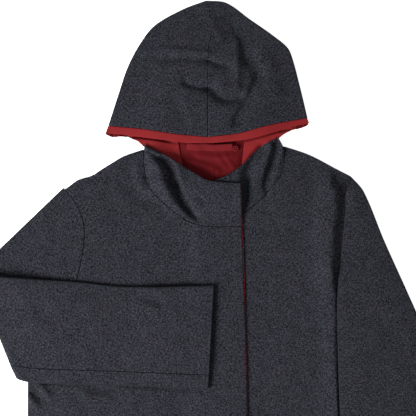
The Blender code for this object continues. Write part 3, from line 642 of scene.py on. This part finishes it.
def front_level(spots):
    """Return the underside of a front at each plan point, with its folds and slight waves."""
    waves = WAVE * ripple(spots, WAVE_LENGTH, WAVE_SEED) * ease(body_rise(spots) / BODY_RISE)
    return FRONT_LEVEL + np.maximum(body_rise(spots) + folds(spots, BODY_FOLDS) + waves, 0)


def front_edge():
    """Return the line of the right front's edge, up to the neck seam."""
    top = (RIGHT_NECK_SEAM[-1][0], NECK_SEAM_Y - GAP)
    return chain(FRONT_EDGE_LOWER, FRONT_EDGE_UPPER + [top], parts=BODY_ROWS)


def right_front_top(spots):
    """Return the upper side of the right front."""
    return front_level(spots) + fly_step(spots) + WOOL


def right_front_cloth(wool):
    """The front that lies on top, out to its edge at the fly."""
    top = chain(RIGHT_SHOULDER, [RIGHT_SHOULDER[-1], RIGHT_NECK_SEAM[0]], RIGHT_NECK_SEAM, parts=(6, 1, 10))
    side = chain(RIGHT_SIDE, RIGHT_ARMHOLE, parts=BODY_ROWS)
    plan = patch(chain(RIGHT_HEM), offset(top, -GAP, -GAP), side, front_edge(), hold=4)

    def level(spots, across, up):
        return front_level(spots) + fly_step(spots)

    piece = flat_cloth("right_front_cloth", plan, level, WOOL, wool, fine=(None, UNDER_FOREARM_ROWS))
    dress(piece, "right_front")


def left_front_cloth(wool):
    """The front that lies beneath, from under the fly to the side seam."""
    top = chain(LEFT_NECK_SEAM, [LEFT_NECK_SEAM[-1], LEFT_SHOULDER[0]], LEFT_SHOULDER, parts=(10, 1, 5))
    edge = chain([LEFT_HEM[0], (UNDERLAP_X, 0)], [(UNDERLAP_X, 0), LEFT_NECK_SEAM[0]], parts=BODY_ROWS)
    side = chain(LEFT_SIDE, LEFT_ARMHOLE, parts=BODY_ROWS)
    plan = patch(chain(LEFT_HEM), offset(top, GAP, -GAP), edge, side, hold=4)

    def level(spots, across, up):
        return front_level(spots)

    piece = flat_cloth("left_front_cloth", plan, level, WOOL, wool, fine=(BESIDE_SLEEVE_COLUMNS, None))
    dress(piece, "left_front")


def front_edge_red(red):
    """The facing under the right front's edge, which shows as a narrow red line."""
    chin_edge = [RIGHT_NECK_SEAM[-1], CHIN_EDGE_MIDDLE, FACING_TOP]
    inner = offset(chain(FRONT_EDGE_LOWER, FRONT_EDGE_UPPER + chin_edge), -FLY_FACING, 0)
    outer = chain(RED_EDGE_LOWER, RED_EDGE_UPPER)
    plan = patch(chain([inner(0)[0], outer(0)[0]]), chain([inner(1)[0], outer(1)[0]]), inner, outer)

    def level(spots, across, up):
        y = spots[:, 1]
        lift = chin_lift(COLLAR_RISE, (y - NECK_SEAM_Y) / CHIN_EDGE_HEIGHT, 1.0)
        turned = EDGE_TURN * ease((across - EDGE_TURN_START) / EDGE_TURN_RUN)
        turned *= ease((NECK_SEAM_Y - y) / EDGE_TURN_END) * ease((y - EDGE_TURN_LOW_Y) / EDGE_TURN_HIGH)
        return front_level(spots) + WOOL + GAP + lift + turned

    piece = flat_cloth("front_edge_red", plan, level, COTTON, red)
    dress(piece, "front_edge_facing")


def chin_lift(rise, up, inward):
    """Return how far a chin part stands up towards the opening, less at the side of the neck."""
    return rise * ease(up * 1.25) * (CHIN_SIDE_SHARE + (1 - CHIN_SIDE_SHARE) * ease(inward * 2.2))


def above(level, up):
    """Keep a chin part clear of the back and, near the opening, of the facing beneath."""
    return np.maximum(level, FRONT_LEVEL + (CHIN_EDGE_LEVEL - FRONT_LEVEL) * ease((up - 0.6) * 4))


def right_chin_level(spots, across, up):
    """Return the underside of the right chin part."""
    fade = ease(up * 4) * ease((1 - up) / CHIN_EDGE_FADE)
    creased = folds(spots, BODY_FOLDS) + folds(spots, RIGHT_CHIN_FOLDS) * fade
    level = FRONT_LEVEL + body_rise(spots) + fly_step(spots) + chin_lift(COLLAR_RISE, up, across) + creased
    return above(level, up)


def right_chin_cloth(wool):
    """The right chin part of the hood, from the neck seam up to the opening."""
    plan = patch(chain(RIGHT_NECK_SEAM), back(chain(RIGHT_OPENING)), chain(RIGHT_NECK_FOLD),
                 chain([RIGHT_NECK_SEAM[-1], CHIN_EDGE_MIDDLE, RIGHT_OPENING[0]]))
    piece = flat_cloth("right_chin_cloth", plan, right_chin_level, WOOL, wool, CHIN_CELL)
    dress(piece, "right_collar")


def left_chin_level(spots, across, up):
    """Return the underside of the left chin part."""
    creased = folds(spots, BODY_FOLDS) + folds(spots, LEFT_CHIN_FOLDS) * ease(up * 4)
    level = FRONT_LEVEL + body_rise(spots) + chin_lift(UNDER_COLLAR_RISE, up, 1 - across) + creased
    return above(level, up)


def left_chin_cloth(wool):
    """The left chin part of the hood, whose front lies under the right one."""
    plan = patch(chain(LEFT_NECK_SEAM), chain(LEFT_OPENING), chain([LEFT_NECK_SEAM[0], LEFT_OPENING[0]]),
                 chain(LEFT_NECK_FOLD))
    piece = flat_cloth("left_chin_cloth", plan, left_chin_level, WOOL, wool, CHIN_CELL)
    dress(piece, "left_collar")


def hood_cloth(name, node, front, outline, nape, side, wool):
    """One side of the hood: its crown lies above, folds at the outline and runs back beneath to the nape."""
    top = chain([CENTRE_SEAM[-1], SEAM_NEAR_TIP, HOOD_TIP])
    upper = patch(chain(front), top, chain(CENTRE_SEAM), chain(outline))
    lower = patch(chain(nape), top, chain([nape[0], CENTRE_SEAM[-1]]), chain(outline))
    far = 1 - TUBE_INSET
    rounds = stations([
        (4, 0, 0.02, 0, 0),
        (42, 0.02, far, 0, 0),
        (10, far, far, 0, pi),
        (16, far, 0, pi, pi),
    ])
    rows = graded(HOOD_LENGTH, HOOD_CELL)

    def place(column, row, face):
        across, turn = rounds[column].T
        up = rows[row]
        over, height = section(upper, across, turn, up, face)
        under, _ = section(lower, across, turn, up, face)
        beneath = (1 - np.cos(turn)) / 2
        spots = over * (1 - beneath)[:, None] + under * beneath[:, None]
        spots[:, 0] += side * GAP / 2 + HIDDEN_SHIFT * beneath
        crown = ease(1 - 2 * beneath)
        edge = np.minimum(up * HOOD_LENGTH, across * HOOD_HALF_WIDTH)
        dip = (WOOL / 2) * (1 - np.sqrt(1 - (1 - np.clip(edge / RIM, 0, 1)) ** 2)) * crown * face
        creased = folds(spots, HOOD_FOLDS) * ease(reach(spots, HOOD_OUTLINE)[0] / FOLD_CLEAR)
        lift = np.maximum(hood_rise(spots) + creased, 0) * crown
        cut = spots.copy()
        cut[:, 0] += side * beneath * UNDER_WEAVE
        return np.column_stack([spots, height + lift - dip]), cut

    piece = cloth(name, np.arange(len(rounds)), rows, place, wool)
    dress(piece, node)


def band_level(spots):
    """Return the underside of the facing along the hood's front edge."""
    return FRONT_LEVEL + hood_rise(spots) + (WOOL - COTTON) / 2


def hood_edge_red(red):
    """The facing that shows along the hood's front edge, from corner to corner."""
    upper = offset(chain(RIGHT_HOOD_FRONT[::-1], LEFT_HOOD_FRONT, parts=(1, 1)), 0, -BAND_SEAM)
    lower = chain(RIGHT_BAND_LOWER[::-1], LEFT_BAND_LOWER, parts=(1, 1))

    def level(spots, across, up):
        return band_level(spots)

    piece = flat_cloth("hood_edge_red", strip(lower, upper), level, COTTON, red, BAND_CELL)
    dress(piece, "hood_edge_facing")


def side_facing_red(name, node, lower, upper, inner_end, chin, chin_level, band, fall, red):
    """A red facing inside one side of the hood, from the band down to under the chin part's edge."""
    plan = patch(chain(lower), chain(upper), chain([lower[0], upper[0]]), chain(inner_end))
    edges = (chain(chin)(SAMPLES), chain(band)(SAMPLES))
    chin_edge, band_edge = (edge[edge[:, 0].argsort()] for edge in edges)

    def level(spots, across, up):
        x, y = spots.T
        shown = np.interp(x, *band_edge.T) - y
        under_band = BAND_CLEAR * (1 - ease((shown - BAND_EDGE) / BAND_EDGE_RUN))
        top = np.maximum(band_level(spots) - under_band, HOOD_FACING_LEVEL)
        depth = np.interp(x, *chin_edge.T) - y
        inward = np.clip((x - chin_edge[0, 0]) / (chin_edge[-1, 0] - chin_edge[0, 0]), 0, 1)
        chin_at = chin_level(spots, inward, 1 - np.maximum(depth, 0) / CHIN_DEPTH)
        met = ease(1 + depth / CHIN_REACH)
        facing = top * (1 - met) + (chin_at - COTTON - CHIN_CLEAR) * met
        facing = facing - fall * ease((across - FACING_FALL_START) / FACING_FALL_RUN)
        return np.maximum(facing, HOOD_FACING_LEVEL)

    piece = flat_cloth(name, plan, level, COTTON, red, FINE_CELL)
    dress(piece, node)


def corner_red(name, node, upper, lower, red):
    """The small crumpled end of the facing under a corner of the hood."""
    def level(spots, across, up):
        crumple = (1 + np.cos(across * CORNER_WAVES * pi)) / 2 * (1 - up)
        curled = (CORNER_CRUMPLE * crumple + CORNER_CURL * (1 - up)) * ease((1 - across) * 5)
        return GAP + curled + FRONT_LEVEL * ease((across - 0.4) * 4)

    plan = strip(chain(lower), chain(upper))
    piece = flat_cloth(name, plan, level, COTTON, red, CORNER_CELL)
    dress(piece, node)


def lining_rise(spots):
    """Return the level of the neck's lining, which falls away under the band and to the sides."""
    x, y = spots.T
    inward = ease((x - LINING_RIGHT_X) / LINING_RIGHT_RUN) * ease((LINING_LEFT_X - x) / LINING_LEFT_RUN)
    return LINING_LEVEL + LINING_LIFT * inward * ease((LINING_TOP_Y - y) / LINING_TOP_RUN)


def neck_lining_red(red):
    """The red lining at the back of the neck, tucked under everything round the opening, in a darker red that
    is painted shade.
    """
    def level(spots, across, up):
        inward = ease(across * 4) * ease((1 - across) * 4)
        puffed = folds(spots, LINING_FOLDS) + LINING_RISE * ease(1 - up * 1.5)
        return lining_rise(spots) + puffed * inward

    plan = strip(chain(LINING_LOWER), chain(LINING_UPPER))
    piece = flat_cloth("neck_lining_red", plan, level, COTTON, red, BAND_CELL)
    dress(piece, "neck_lining")


def neck_tape_red(red):
    """The tape over the seam at the back of the neck."""
    def level(spots, across, up):
        return TAPE_LEVEL + LINING_LIFT + TAPE_RISE * ease(up * 1.3)

    lower = chain(TAPE_LOWER)
    plan = strip(lower, offset(lower, 0, TAPE_WIDTH))
    piece = flat_cloth("neck_tape_red", plan, level, TAPE, red, FINE_CELL)
    dress(piece, "neck_tape")


def right_sleeve_cloth(wool):
    """The right sleeve: a flat tube that folds over at the elbow and runs back across the chest."""
    crease = (CREASE_UNDER - CREASE_OUTER) / np.linalg.norm(CREASE_UNDER - CREASE_OUTER)
    outward = np.array((crease[1], -crease[0]))
    armhole = offset(back(chain(RIGHT_ARMHOLE)), -ARMHOLE_TUCK, 0)
    rounds = tube_stations(RIGHT_SEAM_SHARE, RIGHT_SLEEVE_WIDTH)
    upper_rows = graded(UPPER_ARM_LENGTH, SLEEVE_CELL)[:-4]
    fold_rows = np.linspace(0, 1, 11)
    fore_rows = graded(FOREARM_LENGTH, FOREARM_CELL)
    kinds = np.concatenate([np.zeros(len(upper_rows)), np.ones(10), np.full(len(fore_rows) - 5, 2)])
    shares = np.concatenate([upper_rows / upper_rows[-1], fold_rows[1:], fore_rows[5:]])

    def place(column, row, face):
        across, turn = rounds[column].T
        kind, share = kinds[row], shares[row]

        def plan(across, share):
            start = armhole((across - TUBE_INSET) / (1 - 2 * TUBE_INSET))
            start[:, 0] -= SEAM_TUCK * (1 - np.cos(turn)) / 2
            bend = CREASE_OUTER + (CREASE_UNDER - CREASE_OUTER) * across[:, None]
            cuff = RIGHT_CUFF_OUTER + (RIGHT_CUFF_UNDER - RIGHT_CUFF_OUTER) * across[:, None]
            mirrored = cuff - 2 * outward * ((cuff - CREASE_OUTER) @ outward)[:, None]
            end = mirrored + outward * pi * FOLD_ROLL
            past = (end - bend) @ outward
            turned = (pi * FOLD_ROLL / past)[:, None]
            part = share[:, None]
            arm = start + (bend - start) * part
            bent = bend + (end - bend) * turned * part
            fore = bend + (end - bend) * (turned + (1 - turned) * part)
            return np.where(kind[:, None] == 0, arm, np.where(kind[:, None] == 1, bent, fore))

        spots, height = section(plan, across, turn, share, face)
        unfolded = spots.copy()
        beyond = np.maximum((spots - CREASE_OUTER) @ outward, 0)
        turned = np.minimum(beyond / FOLD_ROLL, pi)
        inward = np.sin(turned) * (FOLD_LEVEL - height) - np.maximum(beyond - pi * FOLD_ROLL, 0)
        folded = beyond > 0
        spots = np.where(folded[:, None], spots - outward * (beyond - inward)[:, None], spots)
        height = np.where(folded, FOLD_LEVEL - np.cos(turned) * (FOLD_LEVEL - height), height)
        over = turned / pi
        gone = np.clip((spots[:, 0] - CREASE_OUTER[0]) / (RIGHT_CUFF_OUTER[0] - CREASE_OUTER[0]), 0, 1)
        bowed = TOP_BOW(gone)[:, 1] * (1 - across) ** 1.5 + UNDER_BOW(gone)[:, 1] * across ** 2
        spots[:, 1] += bowed * ease(over)
        near = np.exp(-(np.linalg.norm(spots - CREASE_UNDER, axis=1) / ELBOW_ROUND) ** 2)
        spots += near[:, None] * ELBOW_PUSH
        backside = (1 - np.cos(turn)) / 2
        along = ease((beyond - pi * FOLD_ROLL) / EDGE_ROLL)
        puff = SLEEVE_RISE * np.sin(pi * across) * backside * along
        creased = folds(spots, FOREARM_FOLDS) * backside * along
        body = np.maximum(body_rise(spots) + folds(spots, BODY_FOLDS) * (1 - over), 0)
        lift = body * np.maximum(over, 1 - backside)
        at_cuff = ease((gone - CUFF_START) / (1 - CUFF_START))
        laid = FLY_STEP * ease((spots[:, 0] - CUFF_STEP_X) / CUFF_STEP_RUN)
        laid += (CUFF_LIFT - CUFF_SINK * ease(across * 1.2)) * at_cuff
        laid += ELBOW_LIFT * ease(1 - gone / ELBOW_LIFT_RUN) * ease(1 - across / ELBOW_LIFT_DEPTH)
        cut = np.column_stack([(unfolded - CREASE_OUTER) @ crease, (unfolded - CREASE_OUTER) @ outward])
        cut[:, 0] += backside * UNDER_WEAVE
        height += np.maximum(puff + creased, 0) + lift + laid * ease(over)
        return np.column_stack([spots, height]), cut

    piece = cloth("right_sleeve_cloth", np.arange(len(rounds)), shares, place, wool)
    dress(piece, "right_sleeve")


def left_sleeve_cloth(wool):
    """The left sleeve: a flat tube that lies on the body's side and drops to the floor beyond it."""
    table = np.array(LEFT_SLEEVE)
    outer = chain(table[:, :2])
    inner = chain(table[:, 2:])
    rounds = tube_stations(LEFT_SEAM_SHARE, LEFT_SLEEVE_WIDTH)
    rows = graded(LEFT_SLEEVE_LENGTH, SLEEVE_CELL)

    def plan(across, up):
        return outer(up) * (1 - across[:, None]) + inner(up) * across[:, None]

    def place(column, row, face):
        across, turn = rounds[column].T
        up = rows[row]
        spots, height = section(plan, across, turn, up, face)
        shoulder_x, shoulder_y = LEFT_SHOULDER[-1]
        side = BUST_HALF + (shoulder_x - BUST_HALF) * np.maximum(spots[:, 1], 0) / shoulder_y
        past = spots[:, 0] - side
        base = LEFT_SLEEVE_LEVEL * (1 - ease((past - SIDE_CLEAR) / SIDE_DROP))
        base += np.where(past < 0, body_rise(spots), 0)
        top = (1 + np.cos(turn)) / 2
        puff = SLEEVE_RISE * np.sin(pi * across) * top
        creased = folds(spots, LEFT_SLEEVE_FOLDS) * top
        cut = spots.copy()
        cut[:, 0] += (1 - top) * UNDER_WEAVE
        return np.column_stack([spots, base + height + np.maximum(puff + creased, 0)]), cut

    piece = cloth("left_sleeve_cloth", np.arange(len(rounds)), rows, place, wool)
    dress(piece, "left_sleeve")


def hanger_knot(red):
    """The small hanging loop, gathered into a ring beside the tape."""
    mesh = bmesh.new()
    ring = (LOOP_RADIUS, 0, 0)
    bmesh.ops.create_circle(mesh, segments=12, radius=LOOP_THICK, matrix=Matrix.Translation(ring))
    bmesh.ops.rotate(mesh, verts=mesh.verts, cent=ring, matrix=Matrix.Rotation(pi / 2, 3, "X"))
    bmesh.ops.spin(mesh, geom=mesh.edges[:], axis=(0, 0, 1), cent=(0, 0, 0), steps=28, angle=2 * pi)
    bmesh.ops.remove_doubles(mesh, verts=mesh.verts, dist=0.00002)
    bmesh.ops.create_uvsphere(mesh, u_segments=16, v_segments=10, radius=LOOP_RADIUS * 0.55)
    bmesh.ops.translate(mesh, verts=mesh.verts, vec=LOOP_CENTRE)
    bmesh.ops.recalc_face_normals(mesh, faces=mesh.faces)
    piece = lay("hanger_knot", mesh, red)
    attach(piece, "root")
    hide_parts("hanger_loop")


def stitches(name, route, height, thread):
    """Lay a row of short stitches along a route, each sunk halfway into the cloth's top at height(spots)."""
    curve, length = run(route)
    count = round(length / STITCH_PITCH)
    starts = curve(np.arange(count) / count)
    ends = curve((np.arange(count) + STITCH_SHARE) / count)
    levels = height((starts + ends) / 2)
    mesh = bmesh.new()
    for start, end, level in zip(starts, ends, levels):
        way = Vector((*(end - start), 0))
        turn = way.to_track_quat("X", "Z").to_matrix().to_4x4()
        size = Matrix.Diagonal((way.length, STITCH_THICK, STITCH_THICK, 1))
        middle = Matrix.Translation((*((start + end) / 2), level))
        bmesh.ops.create_icosphere(mesh, subdivisions=1, radius=0.5, matrix=middle @ turn @ size)
    piece = lay(name, mesh, thread)
    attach(piece, "root")


# ---------------------------------------------------------------- materials
class Value:
    """A changing value in a material: a socket whose Python operators add Math nodes."""

    def __init__(self, finish, socket):
        self.finish = finish
        self.socket = socket

    def joined(self, operation, *values):
        return self.finish.node("ShaderNodeMath", {"operation": operation}, dict(enumerate(values)))

    def __add__(self, other):
        return self.joined("ADD", self, other)

    def __sub__(self, other):
        return self.joined("SUBTRACT", self, other)

    def __rsub__(self, other):
        return self.joined("SUBTRACT", other, self)

    def __mul__(self, other):
        return self.joined("MULTIPLY", self, other)

    __radd__ = __add__
    __rmul__ = __mul__


class Finish:
    """A material, and the one way that its nodes are added."""

    def __init__(self, name):
        self.material = bpy.data.materials.new(name)
        self.material.use_nodes = True
        self.tree = self.material.node_tree
        self.shader = self.tree.nodes["Principled BSDF"]

    def node(self, kind, settings=None, sockets=None, out=0):
        made = self.tree.nodes.new(kind)
        for key, value in (settings or {}).items():
            setattr(made, key, value)
        self.feed(made, sockets or {})
        return Value(self, made.outputs[out])

    def feed(self, made, sockets):
        for key, value in sockets.items():
            if isinstance(value, Value):
                self.tree.links.new(value.socket, made.inputs[key])
            else:
                made.inputs[key].default_value = value

    def noise(self, place, scale, detail=2.0, rough=0.5):
        return self.node("ShaderNodeTexNoise", {}, {"Vector": place, "Scale": scale, "Detail": detail,
                                                     "Roughness": rough})

    def spread(self, value, low, high, to_low=0.0, to_high=1.0):
        return self.node("ShaderNodeMapRange", {}, {"Value": value, "From Min": low, "From Max": high,
                                                    "To Min": to_low, "To Max": to_high})

    def mix(self, share, first, second):
        made = self.tree.nodes.new("ShaderNodeMix")
        made.data_type = "RGBA"
        self.feed(made, {0: share, 6: first, 7: second})
        return Value(self, made.outputs[2])


def wool_finish():
    """Dark blue-grey heathered wool: a soft twill with lighter and darker flecks."""
    made = Finish("wool_heather")
    weave = made.node("ShaderNodeUVMap", {"uv_map": "weave"})
    apart = made.node("ShaderNodeSeparateXYZ", {}, {0: weave})
    split = apart.socket.node
    across, along = Value(made, split.outputs[0]), Value(made, split.outputs[1])
    lengthwise = made.node("ShaderNodeMapping", {}, {"Vector": weave, "Scale": (1.0, 0.45, 1.0)})
    crosswise = made.node("ShaderNodeMapping", {}, {"Vector": weave, "Scale": (0.45, 1.0, 1.0),
                                                    "Rotation": (0, 0, radians(12))})
    warp = made.noise(lengthwise, 640, 1.0)
    weft = made.noise(crosswise, 640, 1.0)
    fibre = made.noise(weave, 1300, 2.0, 0.6)
    mottle = made.noise(weave, 60, 3.0, 0.6)
    tint = made.noise(weave, 28, 2.0, 0.5)
    fleck = warp.joined("MAXIMUM", warp, weft) - 0.06
    diagonal = ((across * 0.55 + along) * 3400).joined("SINE", (across * 0.55 + along) * 3400)
    light = made.spread(fleck, 0.38, 0.66) * 0.82 + made.spread(fibre, 0.30, 0.70) * 0.20
    light = light + made.spread(mottle, 0.30, 0.70) * 0.16 + diagonal * 0.03 - 0.14
    cool = made.mix(made.spread(tint, 0.35, 0.65), (0.047, 0.052, 0.065, 1), (0.052, 0.050, 0.066, 1))
    colour = made.mix(light, (0.0030, 0.0030, 0.0045, 1), cool)
    bump = made.node("ShaderNodeBump", {}, {"Strength": 0.6, "Distance": 0.0006,
                                            "Height": fleck * 0.9 + fibre * 0.5 + diagonal * 0.15})
    made.feed(made.shader, {"Base Color": colour, "Roughness": made.spread(fibre, 0.3, 0.7, 0.88, 0.98),
                            "Normal": bump, "Specular IOR Level": 0.10})
    return made.material


def cotton_finish(name, dark, light):
    """Plain red cotton with a fine even weave."""
    made = Finish(name)
    weave = made.node("ShaderNodeUVMap", {"uv_map": "weave"})
    slub = made.noise(weave, 420, 2.0, 0.5)
    broad = made.noise(weave, 60, 2.0, 0.5)
    threads = made.node("ShaderNodeTexWave", {"wave_type": "BANDS", "bands_direction": "X"},
                        {"Vector": weave, "Scale": 500, "Distortion": 0.6, "Detail": 1.0})
    share = made.spread(broad, 0.3, 0.7) * 0.6 + made.spread(slub, 0.3, 0.7) * 0.4
    bump = made.node("ShaderNodeBump", {}, {"Strength": 0.3, "Distance": 0.0003,
                                            "Height": slub + threads * 0.4})
    made.feed(made.shader, {"Base Color": made.mix(share, dark, light),
                            "Roughness": made.spread(slub, 0.3, 0.7, 0.72, 0.85), "Normal": bump,
                            "Specular IOR Level": 0.15})
    return made.material


def thread_finish():
    """Dark matt sewing thread."""
    made = Finish("dark_thread")
    twist = made.noise(made.node("ShaderNodeTexCoord", {}, {}, 3), 900, 1.0)
    colour = made.mix(twist, (0.008, 0.008, 0.012, 1), (0.020, 0.020, 0.028, 1))
    made.feed(made.shader, {"Base Color": colour, "Roughness": 0.7, "Specular IOR Level": 0.2})
    return made.material


def floor_finish():
    """A plain white table."""
    made = Finish("white_table")
    grain = made.noise(made.node("ShaderNodeTexCoord", {}, {}, 3), 3, 2.0)
    made.feed(made.shader, {"Base Color": made.mix(grain, (0.90, 0.90, 0.90, 1), (0.93, 0.93, 0.93, 1)),
                            "Roughness": 0.9, "Specular IOR Level": 0.2, "Emission Color": (1, 1, 1, 1),
                            "Emission Strength": 0.80})
    return made.material


# ---------------------------------------------------------------- floor, light and camera
VIEW_CENTRE = (-0.0015, 0.2310)
VIEW_WIDTH = 0.6240
CAMERA_HEIGHT = 2.4
SENSOR_MM = 36
LIGHT_AIM = Vector((0, 0.2, 0))
FLOOR_HALF = 12.0
FLOOR_BELOW = 0.0005


def lay_floor():
    """A wide plain table top just under the garment."""
    mesh = bmesh.new()
    bmesh.ops.create_grid(mesh, x_segments=1, y_segments=1, size=FLOOR_HALF)
    bmesh.ops.translate(mesh, verts=mesh.verts, vec=(0, 0, -FLOOR_BELOW))
    lay("floor", mesh, floor_finish())


def hang_light(name, place, size, power):
    """A soft square light that points at the middle of the garment."""
    lamp = bpy.data.lights.new(name, "AREA")
    lamp.shape = "SQUARE"
    lamp.size = size
    lamp.energy = power
    made = bpy.data.objects.new(name, lamp)
    made.location = place
    made.rotation_euler = (LIGHT_AIM - Vector(place)).to_track_quat("-Z", "Y").to_euler()
    bpy.context.scene.collection.objects.link(made)


def set_light_and_camera():
    """Soft light, strongest from the right sleeve and the hem, and a camera straight above."""
    hang_light("key_light", (-2.15, -1.05, 1.9), 1.4, 181)
    hang_light("fill_light", (1.4, -0.6, 2.2), 1.6, 6)
    world = bpy.data.worlds.new("studio")
    world.use_nodes = True
    world.node_tree.nodes["Background"].inputs["Color"].default_value = (1, 1, 1, 1)
    world.node_tree.nodes["Background"].inputs["Strength"].default_value = 0.30
    bpy.context.scene.world = world
    bpy.context.scene.view_settings.view_transform = "Standard"
    lens = bpy.data.cameras.new("camera")
    lens.sensor_width = SENSOR_MM
    lens.lens = SENSOR_MM * CAMERA_HEIGHT / VIEW_WIDTH
    lens.clip_end = 20
    made = bpy.data.objects.new("camera", lens)
    made.location = (*VIEW_CENTRE, CAMERA_HEIGHT)
    bpy.context.scene.collection.objects.link(made)
    bpy.context.scene.camera = made


# ---------------------------------------------------------------- build
def build():
    """Lay every piece in its place."""
    wool = wool_finish()
    red = cotton_finish("red_cotton_cloth", (0.170, 0.009, 0.011, 1), (0.218, 0.0125, 0.0145, 1))
    # The neck lining's cotton is a darker red than the rest: painted shade for the deep neck.
    painted_shade_red = cotton_finish("painted_shade_red_cotton", (0.083, 0.0012, 0.0032, 1), (0.115, 0.0024, 0.0050, 1))
    tape_red = cotton_finish("tape_red_cotton", (0.108, 0.0042, 0.0068, 1), (0.148, 0.0066, 0.0100, 1))
    thread = thread_finish()
    lay_floor()
    back_cloth(wool)
    right_front_cloth(wool)
    left_front_cloth(wool)
    front_edge_red(red)
    right_chin_cloth(wool)
    left_chin_cloth(wool)
    hood_cloth("hood_right_cloth", "hood_right_panel", RIGHT_HOOD_FRONT, RIGHT_HOOD_EDGE, RIGHT_NAPE,
               -1, wool)
    hood_cloth("hood_left_cloth", "hood_left_panel", LEFT_HOOD_FRONT, LEFT_HOOD_EDGE, LEFT_NAPE, 1, wool)
    hood_edge_red(red)
    side_facing_red("right_side_red", "right_hood_facing", RIGHT_FACING_LOWER, RIGHT_FACING_UPPER,
                    RIGHT_FACING_END, RIGHT_OPENING, right_chin_level, RIGHT_BAND_LOWER, FACING_FALL, red)
    side_facing_red("left_side_red", "left_hood_facing", LEFT_FACING_LOWER, LEFT_FACING_UPPER,
                    LEFT_FACING_END, LEFT_OPENING, left_chin_level, LEFT_BAND_LOWER, 0.0, red)
    corner_red("right_corner_red", "right_corner_facing", RIGHT_CORNER_UPPER, RIGHT_CORNER_LOWER, red)
    corner_red("left_corner_red", "left_corner_facing", LEFT_CORNER_UPPER, LEFT_CORNER_LOWER, red)
    neck_lining_red(painted_shade_red)
    neck_tape_red(tape_red)
    hanger_knot(tape_red)
    stitches("fly_stitches", FLY_STITCH_LINE, right_front_top, thread)
    right_sleeve_cloth(wool)
    left_sleeve_cloth(wool)
    set_light_and_camera()


build()
